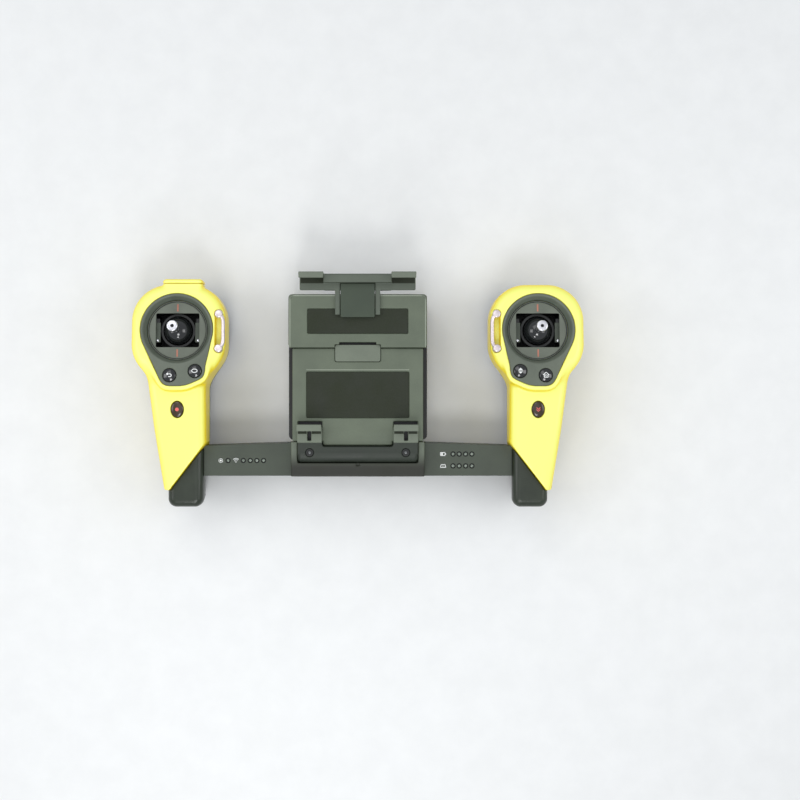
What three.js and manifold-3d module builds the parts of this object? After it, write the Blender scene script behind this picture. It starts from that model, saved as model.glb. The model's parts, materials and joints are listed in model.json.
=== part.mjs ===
// Handheld ground control station for a model aircraft: two grips with gimbal sticks,
// a bridge with status lights, a radio housing and a folding tablet holder.
// Millimetres, +Z up. The part lies on its back: +X is the user's right hand side,
// +Y points away from the user, and the sticks point up.
import * as THREE from 'three';
import { mergeVertices } from 'three/addons/utils/BufferGeometryUtils.js';
import Module from 'manifold-3d';

const wasm = await Module();
wasm.setup();

// ---------------------------------------------------------------- driving dimensions
const GAP = 0.3;
const WALL = 2.4;

const GRIP_X = 148;
const GRIP_Y = 52.5;
const FACE_Z = 64;
const FACE_LEAN = THREE.MathUtils.degToRad(-5);
const HEAD = { x0: -38.2, x1: 40, y0: -42, y1: 37.7, corner: 30.6 };
const HANDLE_INNER_X = 23.5;
const HANDLE_OUTER_SIDE = [[-27.9, -22], [-20.5, -82], [-12.8, -131.8]];
const HANDLE_TIP = [-7.5, -132.2];
const HANDLE_CORNER_Y = -92;
const HANDLE_TOP_Y = -50;
const HANDLE_TOP_Z = 61.5;
const HANDLE_SLOPE = THREE.MathUtils.degToRad(3);
const GRIP_SPLIT_Z = 22;
const FOOT = { x0: -9.4, x1: 19.6, y0: -146.5, y1: -80, top: 53, corner: 7 };
const COLLAR = 4;
const EDGE = { shell: 8, foot: 4.5, floor: 9 };

const RING_RADIUS = 29.6;
const RING_BORE = 24.8;
const DISC_RADIUS = 24.4;
const DISC_TOP = -5.5;
const DISC_THICKNESS = 2;
const WINDOW = { x: 17.8, y: 14 };
const PIVOT_Z = -11;
const BALL_RADIUS = 11.5;
const TIP_RADIUS = 4.4;
const TIP_FOOT = 4.5;
const TIP_TOP = 19.5;
const BUTTONS = { outer: [-5.2, -37.7], inner: [15.5, -34.3] };
const BUTTON_RADIUS = 5.4;
const OVAL = { x: 0, y: -65.5, rx: 5, ry: 6.5 };
const FLAP = { x0: -12.3, x1: 20.6, y0: 38.2, y1: 41.6, z0: 43, z1: 59.5 };
const PORT_Z = 50;
const LOOP = { topY: 12.9, bottomY: -15.6, endX: 34.2, barX: 37.5, barZ: -1.6, wire: 1.4, boss: 3.3 };
const GROOVE = { x0: 31.2, x1: 36.4, depth: 10, ledge: 3.4, outerX: 39.6 };

const ARM_END_X = GRIP_X - FOOT.x1 - GAP;
const BLOCK_X = 55;
const BRIDGE_Y0 = -68.4;
const BRIDGE_Y1_END = -43.4;
const BRIDGE_Y1_MID = -41;
const BLOCK_Y1 = -39.7;
const BRIDGE_Z = { bottom: 10, split: 24, armTop: 46, blockTop: 56 };
const LED_RADIUS = 1.9;
const LEFT_LED_X = [-108.2, -95.5, -89.7, -84.2, -78.6];
const LEFT_LED_Y = -55.7;
const RIGHT_LED_X = [79.2, 84.3, 89.7, 94.9];
const RIGHT_LED_Y = [-50.3, -60.2];

const HOUSING = { x: 57.5, y0: -38.5, y1: 81, z0: 4, split: 27, z1: 46 };
const BATTERY = { x: 22, y0: -9, y1: 81, z0: 6.8, z1: 25.5 };

const HINGE = { y: -50, z: 53, barrel: 6.8, pin: 1.6 };
const LOWER = { x: 53.9, y0: -39, y1: 37.3, z0: 49, z1: 56 };
const LOWER_PAD = { x: 42.5, y0: -20.3, y1: 18.1 };
const TONGUE = { x: 51.5, y1: 77, top: 52.6 };
const BRACKET = { x: 49.6, y1: -27.7, notchX: 29.2, notchY: -43.5 };
const UPPER = { x: 56.9, y0: 37.8, y1: 81.6, z0: 53, z1: 59.5, railX: 52, railZ: 48.5 };
const UPPER_PAD = { x: 41.5, y0: 49.1, y1: 69.8 };
const PAD_DEPTH = 1.2;
const LATCH = { x: 18.6, y0: 26.4, y1: 40, z0: 54.5, z1: 57 };
const CLAMP = { x: 47.5, jawX: 27.5, y0: 84.8, y1: 98.2, z0: 54.8, seat: 62, lip: 74, top: 76.5 };
const CLAMP_BLADE = { x: 14, y0: 57, z0: 54.9, z1: 56.7 };
const CLAMP_STEM = { x0: 14.3, x1: 18.5, y0: 64.5 };

// the middle of the whole part's length, which is put over the origin
const MIDDLE_Y = (GRIP_Y + FOOT.y0 + CLAMP.y1) / 2;

// ---------------------------------------------------------------- materials
const FINISHES = {
  yellow: { color: 0xf4e73a, roughness: 0.42, metalness: 0 },
  housing: { color: 0x4a504b, roughness: 0.6, metalness: 0 },
  casing: { color: 0x222423, roughness: 0.45, metalness: 0 },
  plate: { color: 0x6d746b, roughness: 0.62, metalness: 0 },
  face: { color: 0x4c524f, roughness: 0.5, metalness: 0 },
  pad: { color: 0x3a3c37, roughness: 0.85, metalness: 0 },
  gloss: { color: 0x1c1e1f, roughness: 0.2, metalness: 0 },
  metal: { color: 0xd8d8dc, roughness: 0.25, metalness: 1 },
  screw: { color: 0x2a2c2b, roughness: 0.4, metalness: 1 },
  board: { color: 0x1f6b3a, roughness: 0.5, metalness: 0 },
  light: { color: 0x5c605c, roughness: 0.3, metalness: 0 },
};

function piece(name, shape, finish) {
  const material = new THREE.MeshStandardMaterial(FINISHES[finish]);
  const mesh = new THREE.Mesh(shape, material);
  mesh.name = name;
  return mesh;
}

// ---------------------------------------------------------------- solids
function toSolid(shape) {
  const bare = shape.clone();
  bare.deleteAttribute('normal');
  bare.deleteAttribute('uv');
  const merged = mergeVertices(bare, 1e-4);
  return new wasm.Manifold(new wasm.Mesh({
    numProp: 3,
    vertProperties: new Float32Array(merged.attributes.position.array),
    triVerts: new Uint32Array(merged.index.array),
  }));
}

function toShape(solid) {
  const mesh = solid.getMesh();
  const shape = new THREE.BufferGeometry();
  shape.setAttribute('position', new THREE.BufferAttribute(mesh.vertProperties, 3));
  shape.setIndex(new THREE.BufferAttribute(mesh.triVerts, 1));
  shape.computeVertexNormals();
  return shape;
}

const join = (...shapes) => toShape(shapes.map(toSolid).reduce((a, b) => a.add(b)));
const cut = (base, ...tools) => toShape(tools.map(toSolid).reduce((a, b) => a.subtract(b), toSolid(base)));
const overlap = (a, b) => toShape(toSolid(a).intersect(toSolid(b)));

function box(x0, x1, y0, y1, z0, z1) {
  const shape = new THREE.BoxGeometry(x1 - x0, y1 - y0, z1 - z0);
  return shape.translate((x0 + x1) / 2, (y0 + y1) / 2, (z0 + z1) / 2);
}

// a box that is as wide to the left of X = 0 as to the right
const wideBox = (x, y0, y1, z0, z1) => box(-x, x, y0, y1, z0, z1);

// the same box on both sides of X = 0
const twoBoxes = (x0, x1, ...rest) => [box(x0, x1, ...rest), box(-x1, -x0, ...rest)];

function rodZ(radius, x, y, z0, z1, sides = 16) {
  const shape = new THREE.CylinderGeometry(radius, radius, z1 - z0, sides);
  return shape.rotateX(Math.PI / 2).translate(x, y, (z0 + z1) / 2);
}

function rodY(radius, x, z, y0, y1, sides = 16) {
  const shape = new THREE.CylinderGeometry(radius, radius, y1 - y0, sides);
  return shape.translate(x, (y0 + y1) / 2, z);
}

function rodX(radius, y, z, x0, x1, sides = 16) {
  const shape = new THREE.CylinderGeometry(radius, radius, x1 - x0, sides);
  return shape.rotateZ(Math.PI / 2).translate((x0 + x1) / 2, y, z);
}

// a turned solid about Z from [radius, z] points
function turned(points, sides = 16) {
  const shape = new THREE.LatheGeometry(points.map(([r, z]) => new THREE.Vector2(r, z)), sides);
  return shape.rotateX(Math.PI / 2);
}

// an outline of [x, y] points, counter-clockwise, moved outwards by a distance
function grow(points, distance) {
  return points.map((point, i) => {
    const before = points[(i + points.length - 1) % points.length];
    const after = points[(i + 1) % points.length];
    const normals = [[before, point], [point, after]].map(([a, b]) => {
      const length = Math.hypot(b[0] - a[0], b[1] - a[1]);
      return [(b[1] - a[1]) / length, (a[0] - b[0]) / length];
    });
    const dot = normals[0][0] * normals[1][0] + normals[0][1] * normals[1][1];
    const scale = distance / (1 + dot);
    return [
      point[0] + (normals[0][0] + normals[1][0]) * scale,
      point[1] + (normals[0][1] + normals[1][1]) * scale,
    ];
  });
}

function arc(cx, cy, radius, from, to, steps) {
  return Array.from({ length: steps + 1 }, (_, i) => {
    const angle = THREE.MathUtils.degToRad(from + ((to - from) * i) / steps);
    return [cx + radius * Math.cos(angle), cy + radius * Math.sin(angle)];
  });
}

// a rectangle with round corners, each in a number of steps
function roundOutline(x0, x1, y0, y1, radius, steps) {
  return [
    ...arc(x1 - radius, y1 - radius, radius, 0, 90, steps),
    ...arc(x0 + radius, y1 - radius, radius, 90, 180, steps),
    ...arc(x0 + radius, y0 + radius, radius, 180, 270, steps),
    ...arc(x1 - radius, y0 + radius, radius, 270, 360, steps),
  ];
}

const roundBox = (x0, x1, y0, y1, z0, z1, radius) => prism(roundOutline(x0, x1, y0, y1, radius, 4), z0, z1);

function prism(points, z0, z1) {
  const outline = new THREE.Shape(points.map(([x, y]) => new THREE.Vector2(x, y)));
  const shape = new THREE.ExtrudeGeometry(outline, { depth: z1 - z0, bevelEnabled: false });
  return shape.translate(0, 0, z0);
}

// a prism with rounded edges around its top and its bottom
function rounded(points, z0, z1, radius) {
  const outline = new THREE.Shape(points.map(([x, y]) => new THREE.Vector2(x, y)));
  const shape = new THREE.ExtrudeGeometry(outline, {
    depth: z1 - z0 - 2 * radius,
    bevelThickness: radius,
    bevelSize: radius,
    bevelOffset: -radius,
    bevelSegments: 3,
  });
  return shape.translate(0, 0, z0 + radius);
}

// an upright shape whose top is tipped by an angle about the line Y = y, with its sides left upright
function tipped(shape, angle, y) {
  const shear = new THREE.Matrix4().makeShear(0, 0, 0, Math.tan(angle), 0, 0);
  return shape.translate(0, -y, 0).applyMatrix4(shear).translate(0, y, 0);
}

// a mirrored copy across X = 0, with its faces still pointing out
function mirrored(shape) {
  const copy = shape.index ? shape.toNonIndexed() : shape.clone();
  const xyz = copy.attributes.position;
  const flipped = new Float32Array(xyz.count * 3);
  for (let i = 0; i < xyz.count; i += 1) {
    const corner = i % 3;
    const source = i - corner + [0, 2, 1][corner];
    flipped.set([-xyz.getX(source), xyz.getY(source), xyz.getZ(source)], i * 3);
  }
  const result = new THREE.BufferGeometry();
  result.setAttribute('position', new THREE.BufferAttribute(flipped, 3));
  const merged = mergeVertices(result, 1e-4);
  merged.computeVertexNormals();
  return merged;
}

// ---------------------------------------------------------------- grips
// Grip shapes are drawn for the left hand, with the gimbal ring's centre at X = Y = 0,
// +X towards the middle of the part and Z = 0 on the floor.
const inFace = (shape) => shape.rotateX(FACE_LEAN).translate(0, 0, FACE_Z);

function inHandle(shape) {
  return shape.translate(0, -HANDLE_TOP_Y, 0).rotateX(HANDLE_SLOPE)
    .translate(0, HANDLE_TOP_Y, HANDLE_TOP_Z);
}

const HEAD_OUTLINE = roundOutline(HEAD.x0, HEAD.x1, HEAD.y0, HEAD.y1, HEAD.corner, 7);

const HANDLE_TOP = [HANDLE_INNER_X, HANDLE_OUTER_SIDE[0][1]];

const HANDLE_OUTLINE = [HANDLE_TOP, ...HANDLE_OUTER_SIDE, HANDLE_TIP, [HANDLE_INNER_X, HANDLE_CORNER_Y]];

// the handle carried on over the foot, without the slanting joint
const HANDLE_RUN = [HANDLE_TOP, ...HANDLE_OUTER_SIDE, [FOOT.x0, FOOT.y0], [HANDLE_INNER_X, FOOT.y0]];

// the face plate: the ring's circle and a lobe for the two buttons
const FACE_OUTLINE = [
  ...arc(0, 0, RING_RADIUS, -15, 205, 15),
  [-13.6, -40.2],
  [-10.4, -44.6],
  [-5, -46.4],
  [3.4, -46.4],
  [12.2, -44.2],
  [19.4, -41],
  [22.8, -37.4],
  [24, -30],
];

// the head and the handle from the split up to their rounded tops, drawn in by `inset`
function upperBlock(inset, drop, radius) {
  const head = rounded(grow(HEAD_OUTLINE, -inset), 0, FACE_Z - drop.head, radius);
  const run = rounded(grow(HANDLE_RUN, -inset), 0, HANDLE_TOP_Z - drop.handle, radius);
  const handle = overlap(tipped(run, HANDLE_SLOPE, HANDLE_TOP_Y), prism(grow(HANDLE_OUTLINE, -inset), 0, 90));
  return join(tipped(head, FACE_LEAN, 0), handle);
}

// the head and the handle down to the floor, drawn in by `inset`
function lowerBlock(inset) {
  const head = rounded(grow(HEAD_OUTLINE, -inset), inset, 60, EDGE.floor - inset);
  const run = rounded(grow(HANDLE_RUN, -inset), inset, 60, EDGE.floor - inset);
  return join(head, overlap(run, prism(grow(HANDLE_OUTLINE, -inset), 0, 60)));
}

const above = (z) => box(-60, 60, -150, 60, z, 90);

const ovalOutline = (extra) => Array.from({ length: 16 }, (_, i) => {
  const angle = (i / 16) * 2 * Math.PI;
  return [OVAL.x + (OVAL.rx + extra) * Math.cos(angle), OVAL.y + (OVAL.ry + extra) * Math.sin(angle)];
});

function gripShell(withPort) {
  const tools = [
    upperBlock(WALL, { head: 12, handle: 3 }, EDGE.shell - WALL),
    inFace(prism(grow(FACE_OUTLINE, GAP), -2.8, 12)),
    inFace(rodZ(RING_RADIUS + GAP, 0, 0, -13, 12, 24)),
    inFace(prism(grow(FACE_OUTLINE, -2), -20, -5.4)),
    ...Object.values(BUTTONS).map(([x, y]) => inFace(rodZ(6.2, x, y, -6, 1))),
    inHandle(prism(ovalOutline(GAP + 0.1), -4, 1)),
    inFace(box(GROOVE.x0, GROOVE.x1, LOOP.bottomY + 1, LOOP.topY - 1, -GROOVE.depth, 2)),
    inFace(box(GROOVE.x1 - 1, GROOVE.outerX, LOOP.bottomY + 1, LOOP.topY - 1, -GROOVE.ledge, 2)),
    inFace(rodZ(LOOP.boss + GAP, LOOP.endX, LOOP.topY, -4.2, 2, 16)),
    inFace(rodZ(LOOP.boss + GAP, LOOP.endX, LOOP.bottomY, -4.2, 2, 16)),
  ];
  const collar = inFace(overlap(prism(grow(FACE_OUTLINE, COLLAR), -12, 0), box(-60, 60, -60, -24, -20, 5)));
  let block = overlap(join(upperBlock(0, { head: 0, handle: 0 }, EDGE.shell), collar), above(GRIP_SPLIT_Z));
  if (withPort) {
    block = join(block, box(FLAP.x0, FLAP.x1, 20, FLAP.y0 - GAP, FLAP.z0, FLAP.z1));
    tools.push(box(FLAP.x0 + 3, FLAP.x1 - 3, 10, FLAP.y0 - GAP - 3, FLAP.z0 - 1, PORT_Z + 4.4));
    tools.push(box(-2, 12, 20, 40, PORT_Z - 4.8, PORT_Z + 4.8));
  }
  return cut(block, ...tools);
}

function gripBase() {
  const { x0, x1, y0, y1, top, corner } = FOOT;
  const shellZ = GRIP_SPLIT_Z - GAP;
  const footOutline = [[x1, y1], [x0, y1], [x0, y0], [x1, y0]];
  const lower = overlap(roundBox(x0, x1, y0, y1, 0, top, corner), rounded(footOutline, 0, 90, EDGE.floor));
  const foot = overlap(lower, rounded(footOutline, -20, top, EDGE.foot));
  const shellSpace = prism(grow(HANDLE_OUTLINE, GAP), shellZ, 90);
  const tray = cut(lowerBlock(0), above(shellZ));
  return cut(join(tray, cut(foot, shellSpace)), overlap(lowerBlock(3), above(3)));
}

function facePlate() {
  const lower = rodZ(RING_RADIUS - 0.2, 0, 0, -6, -2.4, 24);
  const funnel = turned([[0, -7], [RING_BORE, -7], [RING_BORE, -5.4], [28.6, 0.1], [28.6, 1], [0, 1]], 24);
  const holes = Object.values(BUTTONS).map(([x, y]) => rodZ(BUTTON_RADIUS + 0.4, x, y, -4, 1));
  return cut(join(prism(FACE_OUTLINE, -2.5, 0), lower), funnel, ...holes);
}

function gimbalDisc() {
  const window = box(-WINDOW.x, WINDOW.x, -WINDOW.y, WINDOW.y, DISC_TOP - 5, 0);
  return cut(rodZ(DISC_RADIUS, 0, 0, DISC_TOP - DISC_THICKNESS, DISC_TOP, 24), window);
}

function gimbalFrame() {
  const top = DISC_TOP - DISC_THICKNESS - GAP;
  const tray = cut(
    box(-21.5, 21.5, -19.5, 19.5, -36, top),
    box(-19, 19, -17, 17, -34, top + 1),
    rodX(1.9, 0, PIVOT_Z, -25, 25, 16),
  );
  const cheeks = twoBoxes(15, 19.2, -9.9, 9.9, top - 1.1, top);
  return join(tray, ...cheeks);
}

function gimbalYoke() {
  const ring = turned([[12.3, -1.6], [14.2, -1.6], [14.2, 1.6], [12.3, 1.6], [12.3, -1.6]], 24);
  const yoke = join(ring, rodX(1.5, 0, 0, 13.4, 20.8, 12), rodX(1.5, 0, 0, -20.8, -13.4, 12));
  return cut(yoke, rodY(1.3, 0, 0, -20, 20, 12)).translate(0, 0, PIVOT_Z);
}

function stick() {
  const ball = new THREE.SphereGeometry(BALL_RADIUS, 16, 10).rotateX(Math.PI / 2).translate(0, 0, PIVOT_Z);
  return join(
    ball,
    rodY(1, 0, PIVOT_Z, -13.9, 13.9, 12),
    rodZ(2.4, 0, 0, PIVOT_Z, TIP_FOOT - GAP, 16),
  );
}

function stickTip() {
  return turned([
    [0, TIP_FOOT],
    [3.4, TIP_FOOT],
    [TIP_RADIUS, TIP_FOOT + 1],
    [TIP_RADIUS, TIP_TOP - 0.8],
    [3.6, TIP_TOP],
    [1.3, TIP_TOP],
    [1.3, TIP_TOP - 2],
    [0, TIP_TOP - 2],
  ], 16);
}

function faceButton([x, y]) {
  const dome = turned([[0, -6.4], [2.5, -6.4], [2.5, -2], [BUTTON_RADIUS, -2], [BUTTON_RADIUS, 0.2],
    [4.6, 1.1], [2.6, 1.6], [0, 1.8]]);
  return dome.translate(x, y, 0);
}

function ovalButton() {
  const cap = prism(ovalOutline(0), -3, 0.8);
  return inHandle(join(cap, rodZ(2.5, OVAL.x, OVAL.y, -6, -2.5, 16)));
}

function buttonBoard() {
  return overlap(prism(grow(FACE_OUTLINE, -4), -9.2, -7.7), box(-40, 40, -60, -24, -20, 0));
}

const handleBoard = () => inHandle(box(-8, 8, OVAL.y - 10, OVAL.y + 10, -9, -7.4));

function strapLoop() {
  const { topY, bottomY, endX, barX, barZ, wire, boss } = LOOP;
  const corners = [[endX, topY], [barX, 8.8], [barX + 0.4, -0.7], [barX, -11.4], [endX, bottomY]];
  const path = new THREE.CatmullRomCurve3(corners.map(([x, y]) => new THREE.Vector3(x, y, barZ)));
  const section = new THREE.Shape().absarc(0, 0, wire, 0, 2 * Math.PI);
  const bar = new THREE.ExtrudeGeometry(section, { steps: 10, curveSegments: 4, extrudePath: path });
  return join(
    bar,
    rodZ(boss, endX, topY, -3.8, 0.4, 16),
    rodZ(boss, endX, bottomY, -3.8, 0.4, 16),
  );
}

const portFlap = () => roundBox(FLAP.x0, FLAP.x1, FLAP.y0, FLAP.y1, FLAP.z0, FLAP.z1, 1.4);

function usbSocket() {
  const { y0 } = FLAP;
  return cut(box(-1.7, 11.7, 26, y0 - 0.6, PORT_Z - 4.5, PORT_Z + 4.5), box(1, 9, 29, y0, PORT_Z - 1.5, PORT_Z + 1.5));
}

// a group whose shapes are drawn in the face plate's own plane
function faceFrame(x) {
  const group = new THREE.Group();
  group.position.set(x, GRIP_Y, FACE_Z);
  group.rotation.x = FACE_LEAN;
  return group;
}

function floorFrame(x) {
  const group = new THREE.Group();
  group.position.set(x, GRIP_Y, 0);
  return group;
}

function grip(side) {
  const left = side === 'left';
  const x = left ? -GRIP_X : GRIP_X;
  const hand = left ? (shape) => shape : mirrored;
  const add = (group, name, shape, finish) => group.add(piece(`${side}_${name}`, hand(shape), finish));
  const body = floorFrame(x);
  const face = faceFrame(x);
  add(body, 'grip_shell', gripShell(left), 'yellow');
  add(body, 'grip_base', gripBase(), 'casing');
  add(body, 'oval_button', ovalButton(), 'gloss');
  add(body, 'handle_board', handleBoard(), 'board');
  add(face, 'face_plate', facePlate(), 'face');
  add(face, 'gimbal_disc', gimbalDisc(), 'face');
  add(face, 'gimbal_frame', gimbalFrame(), 'casing');
  add(face, 'gimbal_yoke', gimbalYoke(), 'casing');
  add(face, 'stick', stick(), 'gloss');
  add(face, 'stick_tip', stickTip(), 'metal');
  add(face, 'button_board', buttonBoard(), 'board');
  add(face, 'strap_loop', strapLoop(), 'metal');
  add(face, 'button_outer', faceButton(BUTTONS.outer), 'gloss');
  add(face, 'button_inner', faceButton(BUTTONS.inner), 'gloss');
  if (left) {
    body.add(piece('port_flap', portFlap(), 'yellow'));
    body.add(piece('usb_socket', usbSocket(), 'metal'));
  }
  return [body, face];
}

// ---------------------------------------------------------------- bridge
const armOutline = [
  [-BLOCK_X - GAP, BRIDGE_Y1_MID],
  [-ARM_END_X, BRIDGE_Y1_END],
  [-ARM_END_X, BRIDGE_Y0],
  [-BLOCK_X - GAP, BRIDGE_Y0],
];

const bridgeOutline = [
  [ARM_END_X, BRIDGE_Y1_END],
  [BLOCK_X, BRIDGE_Y1_MID],
  [-BLOCK_X, BRIDGE_Y1_MID],
  [-ARM_END_X, BRIDGE_Y1_END],
  [-ARM_END_X, BRIDGE_Y0],
  [ARM_END_X, BRIDGE_Y0],
];

// the space that the left handle takes up with its gap, which the bridge's ends stay out of
const handleSpace = () => prism(grow(HANDLE_OUTLINE, GAP), 0, 90).translate(-GRIP_X, GRIP_Y, 0);

const leftLeds = LEFT_LED_X.map((x) => [x, LEFT_LED_Y]);
const rightLeds = RIGHT_LED_Y.flatMap((y) => RIGHT_LED_X.map((x) => [x, y]));

function armCover(leds, hand) {
  const { split, armTop } = BRIDGE_Z;
  const cover = cut(
    prism(armOutline, split, armTop),
    prism(grow(armOutline, -WALL), split - 1, armTop - WALL),
    handleSpace(),
  );
  return cut(hand(cover), ...leds.map(([x, y]) => rodZ(LED_RADIUS + GAP, x, y, 40, 50, 12)));
}

function ledPipes(leds) {
  const strip = { z0: 40.5, z1: 42.5 };
  const xs = leds.map(([x]) => x);
  const ys = leds.map(([, y]) => y);
  return join(
    box(Math.min(...xs) - 3, Math.max(...xs) + 3, Math.min(...ys) - 3, Math.max(...ys) + 3, strip.z0, strip.z1),
    ...leds.map(([x, y]) => rodZ(LED_RADIUS, x, y, strip.z0, BRIDGE_Z.armTop - 0.4, 12)),
  );
}

function bridgeLowerCover() {
  const { bottom, split } = BRIDGE_Z;
  return cut(
    prism(bridgeOutline, bottom, split - GAP),
    prism(grow(bridgeOutline, -WALL), bottom + WALL, split + 1),
    handleSpace(),
    mirrored(handleSpace()),
  );
}

function centreBlock() {
  const cheek = BRACKET.x + GAP;
  const { split, blockTop } = BRIDGE_Z;
  const room = HINGE.barrel + 0.5;
  return cut(
    box(-BLOCK_X, BLOCK_X, BRIDGE_Y0, BLOCK_Y1, split, blockTop),
    rodX(room, HINGE.y, HINGE.z, -cheek, cheek, 24),
    wideBox(cheek, HINGE.y - room, 0, HINGE.z, 70),
    wideBox(cheek, HINGE.y, 0, 47.5, 70),
    rodX(HINGE.pin + 0.4, HINGE.y, HINGE.z, -BLOCK_X + 0.6, BLOCK_X - 0.6, 12),
    wideBox(BLOCK_X - 3, BRIDGE_Y0 + 3, -42.3, split - 1, 42),
    wideBox(1.5, HINGE.y - room - 2.2, HINGE.y, 54.5, 60),
    rodY(4.4, 0, 33, BRIDGE_Y0 - 1, BRIDGE_Y0 + 4),
  );
}

function powerButton() {
  return join(rodY(4, 0, 33, BRIDGE_Y0 - 0.9, BRIDGE_Y0 + 4), rodY(5.2, 0, 33, BRIDGE_Y0 + 3.4, BRIDGE_Y0 + 5));
}

function bridge() {
  const group = new THREE.Group();
  group.add(
    piece('left_arm_cover', armCover(leftLeds, (shape) => shape), 'housing'),
    piece('right_arm_cover', armCover(rightLeds, mirrored), 'housing'),
    piece('bridge_lower_cover', bridgeLowerCover(), 'casing'),
    piece('left_led_pipes', ledPipes(leftLeds), 'light'),
    piece('right_led_pipes', ledPipes(rightLeds), 'light'),
    piece('status_board', wideBox(106, -62, -47, 18, 19.6), 'board'),
    piece('centre_block', centreBlock(), 'housing'),
    piece('power_button', powerButton(), 'gloss'),
    piece('hinge_pin', rodX(HINGE.pin, HINGE.y, HINGE.z, -BLOCK_X + 1, BLOCK_X - 1, 16), 'metal'),
  );
  return group;
}

// ---------------------------------------------------------------- radio housing
function housingBottom() {
  const { x, y0, y1, z0, split } = HOUSING;
  return cut(
    roundBox(-x, x, y0, y1, z0, split, 4),
    wideBox(x - WALL, y0 + WALL, y1 - WALL, z0 + WALL, split + 1),
    wideBox(BATTERY.x + 0.5, y1 - 8, y1 + 1, z0 + WALL, split + 1),
  );
}

function housingTop() {
  const { x, y0, y1, split, z1 } = HOUSING;
  return cut(
    roundBox(-x, x, y0, y1, split + GAP, z1, 4),
    wideBox(x - WALL, y0 + WALL, y1 - WALL, split - 1, z1 - WALL),
  );
}

function heatSink() {
  const fins = Array.from({ length: 6 }, (_, i) => box(-19 + i * 7, -16.4 + i * 7, -12, 24, 34, 39));
  return join(box(-19, 18.6, -12, 24, 32, 34.5), ...fins);
}

function radio() {
  const { x, y0, y1, z0, z1 } = BATTERY;
  const group = new THREE.Group();
  group.add(
    piece('radio_housing_bottom', housingBottom(), 'casing'),
    piece('radio_housing_top', housingTop(), 'casing'),
    piece('main_board', wideBox(46, -24, 66, 29.6, 31.4), 'board'),
    piece('antenna_board', wideBox(44, 30, 74, 40, 41.6), 'board'),
    piece('heat_sink', heatSink(), 'metal'),
    piece('battery_contact_block', wideBox(12, y0 - 6, y0 - 0.5, 8, 24), 'gloss'),
    piece('battery_pack', wideBox(x, y0, y1, z0, z1), 'casing'),
  );
  return group;
}

// ---------------------------------------------------------------- tablet holder
function lowerPlate() {
  const { x, y0, y1, z0, z1 } = LOWER;
  return cut(
    join(
      wideBox(x, y0, y1, z0, z1),
      wideBox(TONGUE.x, y1 - 1, TONGUE.y1, z0, TONGUE.top),
      wideBox(BRACKET.notchX - GAP, HINGE.y + HINGE.barrel + GAP, y0 + 1, z0 + 1, z1),
    ),
    wideBox(LOWER_PAD.x, LOWER_PAD.y0, LOWER_PAD.y1, z1 - PAD_DEPTH, z1 + 1),
    wideBox(LATCH.x + GAP, LATCH.y0 - GAP, y1 + 1, 53, z1 + 1),
    ...twoBoxes(BRACKET.notchX, BRACKET.x, BRACKET.y1, -22.8, 53, z1 + 1),
  );
}

function bracket() {
  const { x, y1, notchX, notchY } = BRACKET;
  const slabZ = LOWER.z1 + GAP;
  const top = HINGE.z + HINGE.barrel;
  const slab = cut(wideBox(x, HINGE.y, y1, slabZ, top), wideBox(notchX, notchY, 0, 50, 70));
  return cut(
    join(
      slab,
      rodX(HINGE.barrel, HINGE.y, HINGE.z, -x, x, 24),
      ...twoBoxes(notchX, x, -40.2, y1, top - 1, 62),
      ...twoBoxes(notchX, x, -30.5, y1, top - 1, 70),
      ...twoBoxes(notchX, x, -30.5, -25.2, 68, 70.5),
    ),
    rodX(HINGE.pin + 0.4, HINGE.y, HINGE.z, -60, 60, 12),
    ...twoBoxes(38, 41.3, -38.6, -31, 50, 63),
    ...[-39.5, 39.5].flatMap((sx) => [rodZ(3.5, sx, -48.5, 57.9, 65, 16), rodZ(1.7, sx, -48.5, 55.8, 60, 12)]),
  );
}

const bracketScrew = (x) => join(rodZ(3.2, x, -48.5, 58.2, 59.8, 16), rodZ(1.4, x, -48.5, 56.1, 58.6, 12));

function upperPlate() {
  const { x, y0, y1, z0, z1, railX, railZ } = UPPER;
  return cut(
    join(roundBox(-x, x, y0, y1, z0, z1, 3), ...twoBoxes(railX, x, y0, y1 - 3, railZ, z0 + 1)),
    wideBox(UPPER_PAD.x, UPPER_PAD.y0, UPPER_PAD.y1, z1 - PAD_DEPTH, z1 + 1),
    wideBox(LATCH.x + GAP, y0 - 1, LATCH.y1 + GAP, z0 - 1, z1 + 1),
    wideBox(15.2, y0 - 1, 42.2, z0 - 1, z1 + 1),
    wideBox(CLAMP_BLADE.x + 0.4, CLAMP_BLADE.y0 - 1, y1 + 1, CLAMP_BLADE.z0 - GAP, CLAMP_BLADE.z1 + GAP),
  );
}

function topClamp() {
  const { x, jawX, y0, y1, z0, seat, lip, top } = CLAMP;
  const stemZ = UPPER.z1 + GAP;
  return cut(
    join(
      wideBox(jawX + 0.3, y0, 96.9, z0, 69),
      wideBox(x, y0, y1, 58, seat),
      ...twoBoxes(jawX, x, y1 - 2, y1, 60, top),
      ...twoBoxes(jawX, x, 93.3, y1, lip, top),
      ...twoBoxes(CLAMP_STEM.x0, CLAMP_STEM.x1, CLAMP_STEM.y0, y0 + 1, stemZ, seat),
      wideBox(CLAMP_BLADE.x, CLAMP_BLADE.y0, y0 + 1, CLAMP_BLADE.z0, CLAMP_BLADE.z1),
    ),
    wideBox(jawX + 1, y0 - 1, 90.4, seat, 75),
    wideBox(CLAMP_STEM.x0 - 0.05, 60, 90.4, stemZ - 0.1, seat + 2),
  );
}

// a strip of rubber on the back wall of a jaw
const jawPad = (x0, x1, y0, z0, z1) => box(x0, x1, y0, y0 + 1.2, z0, z1);

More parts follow.
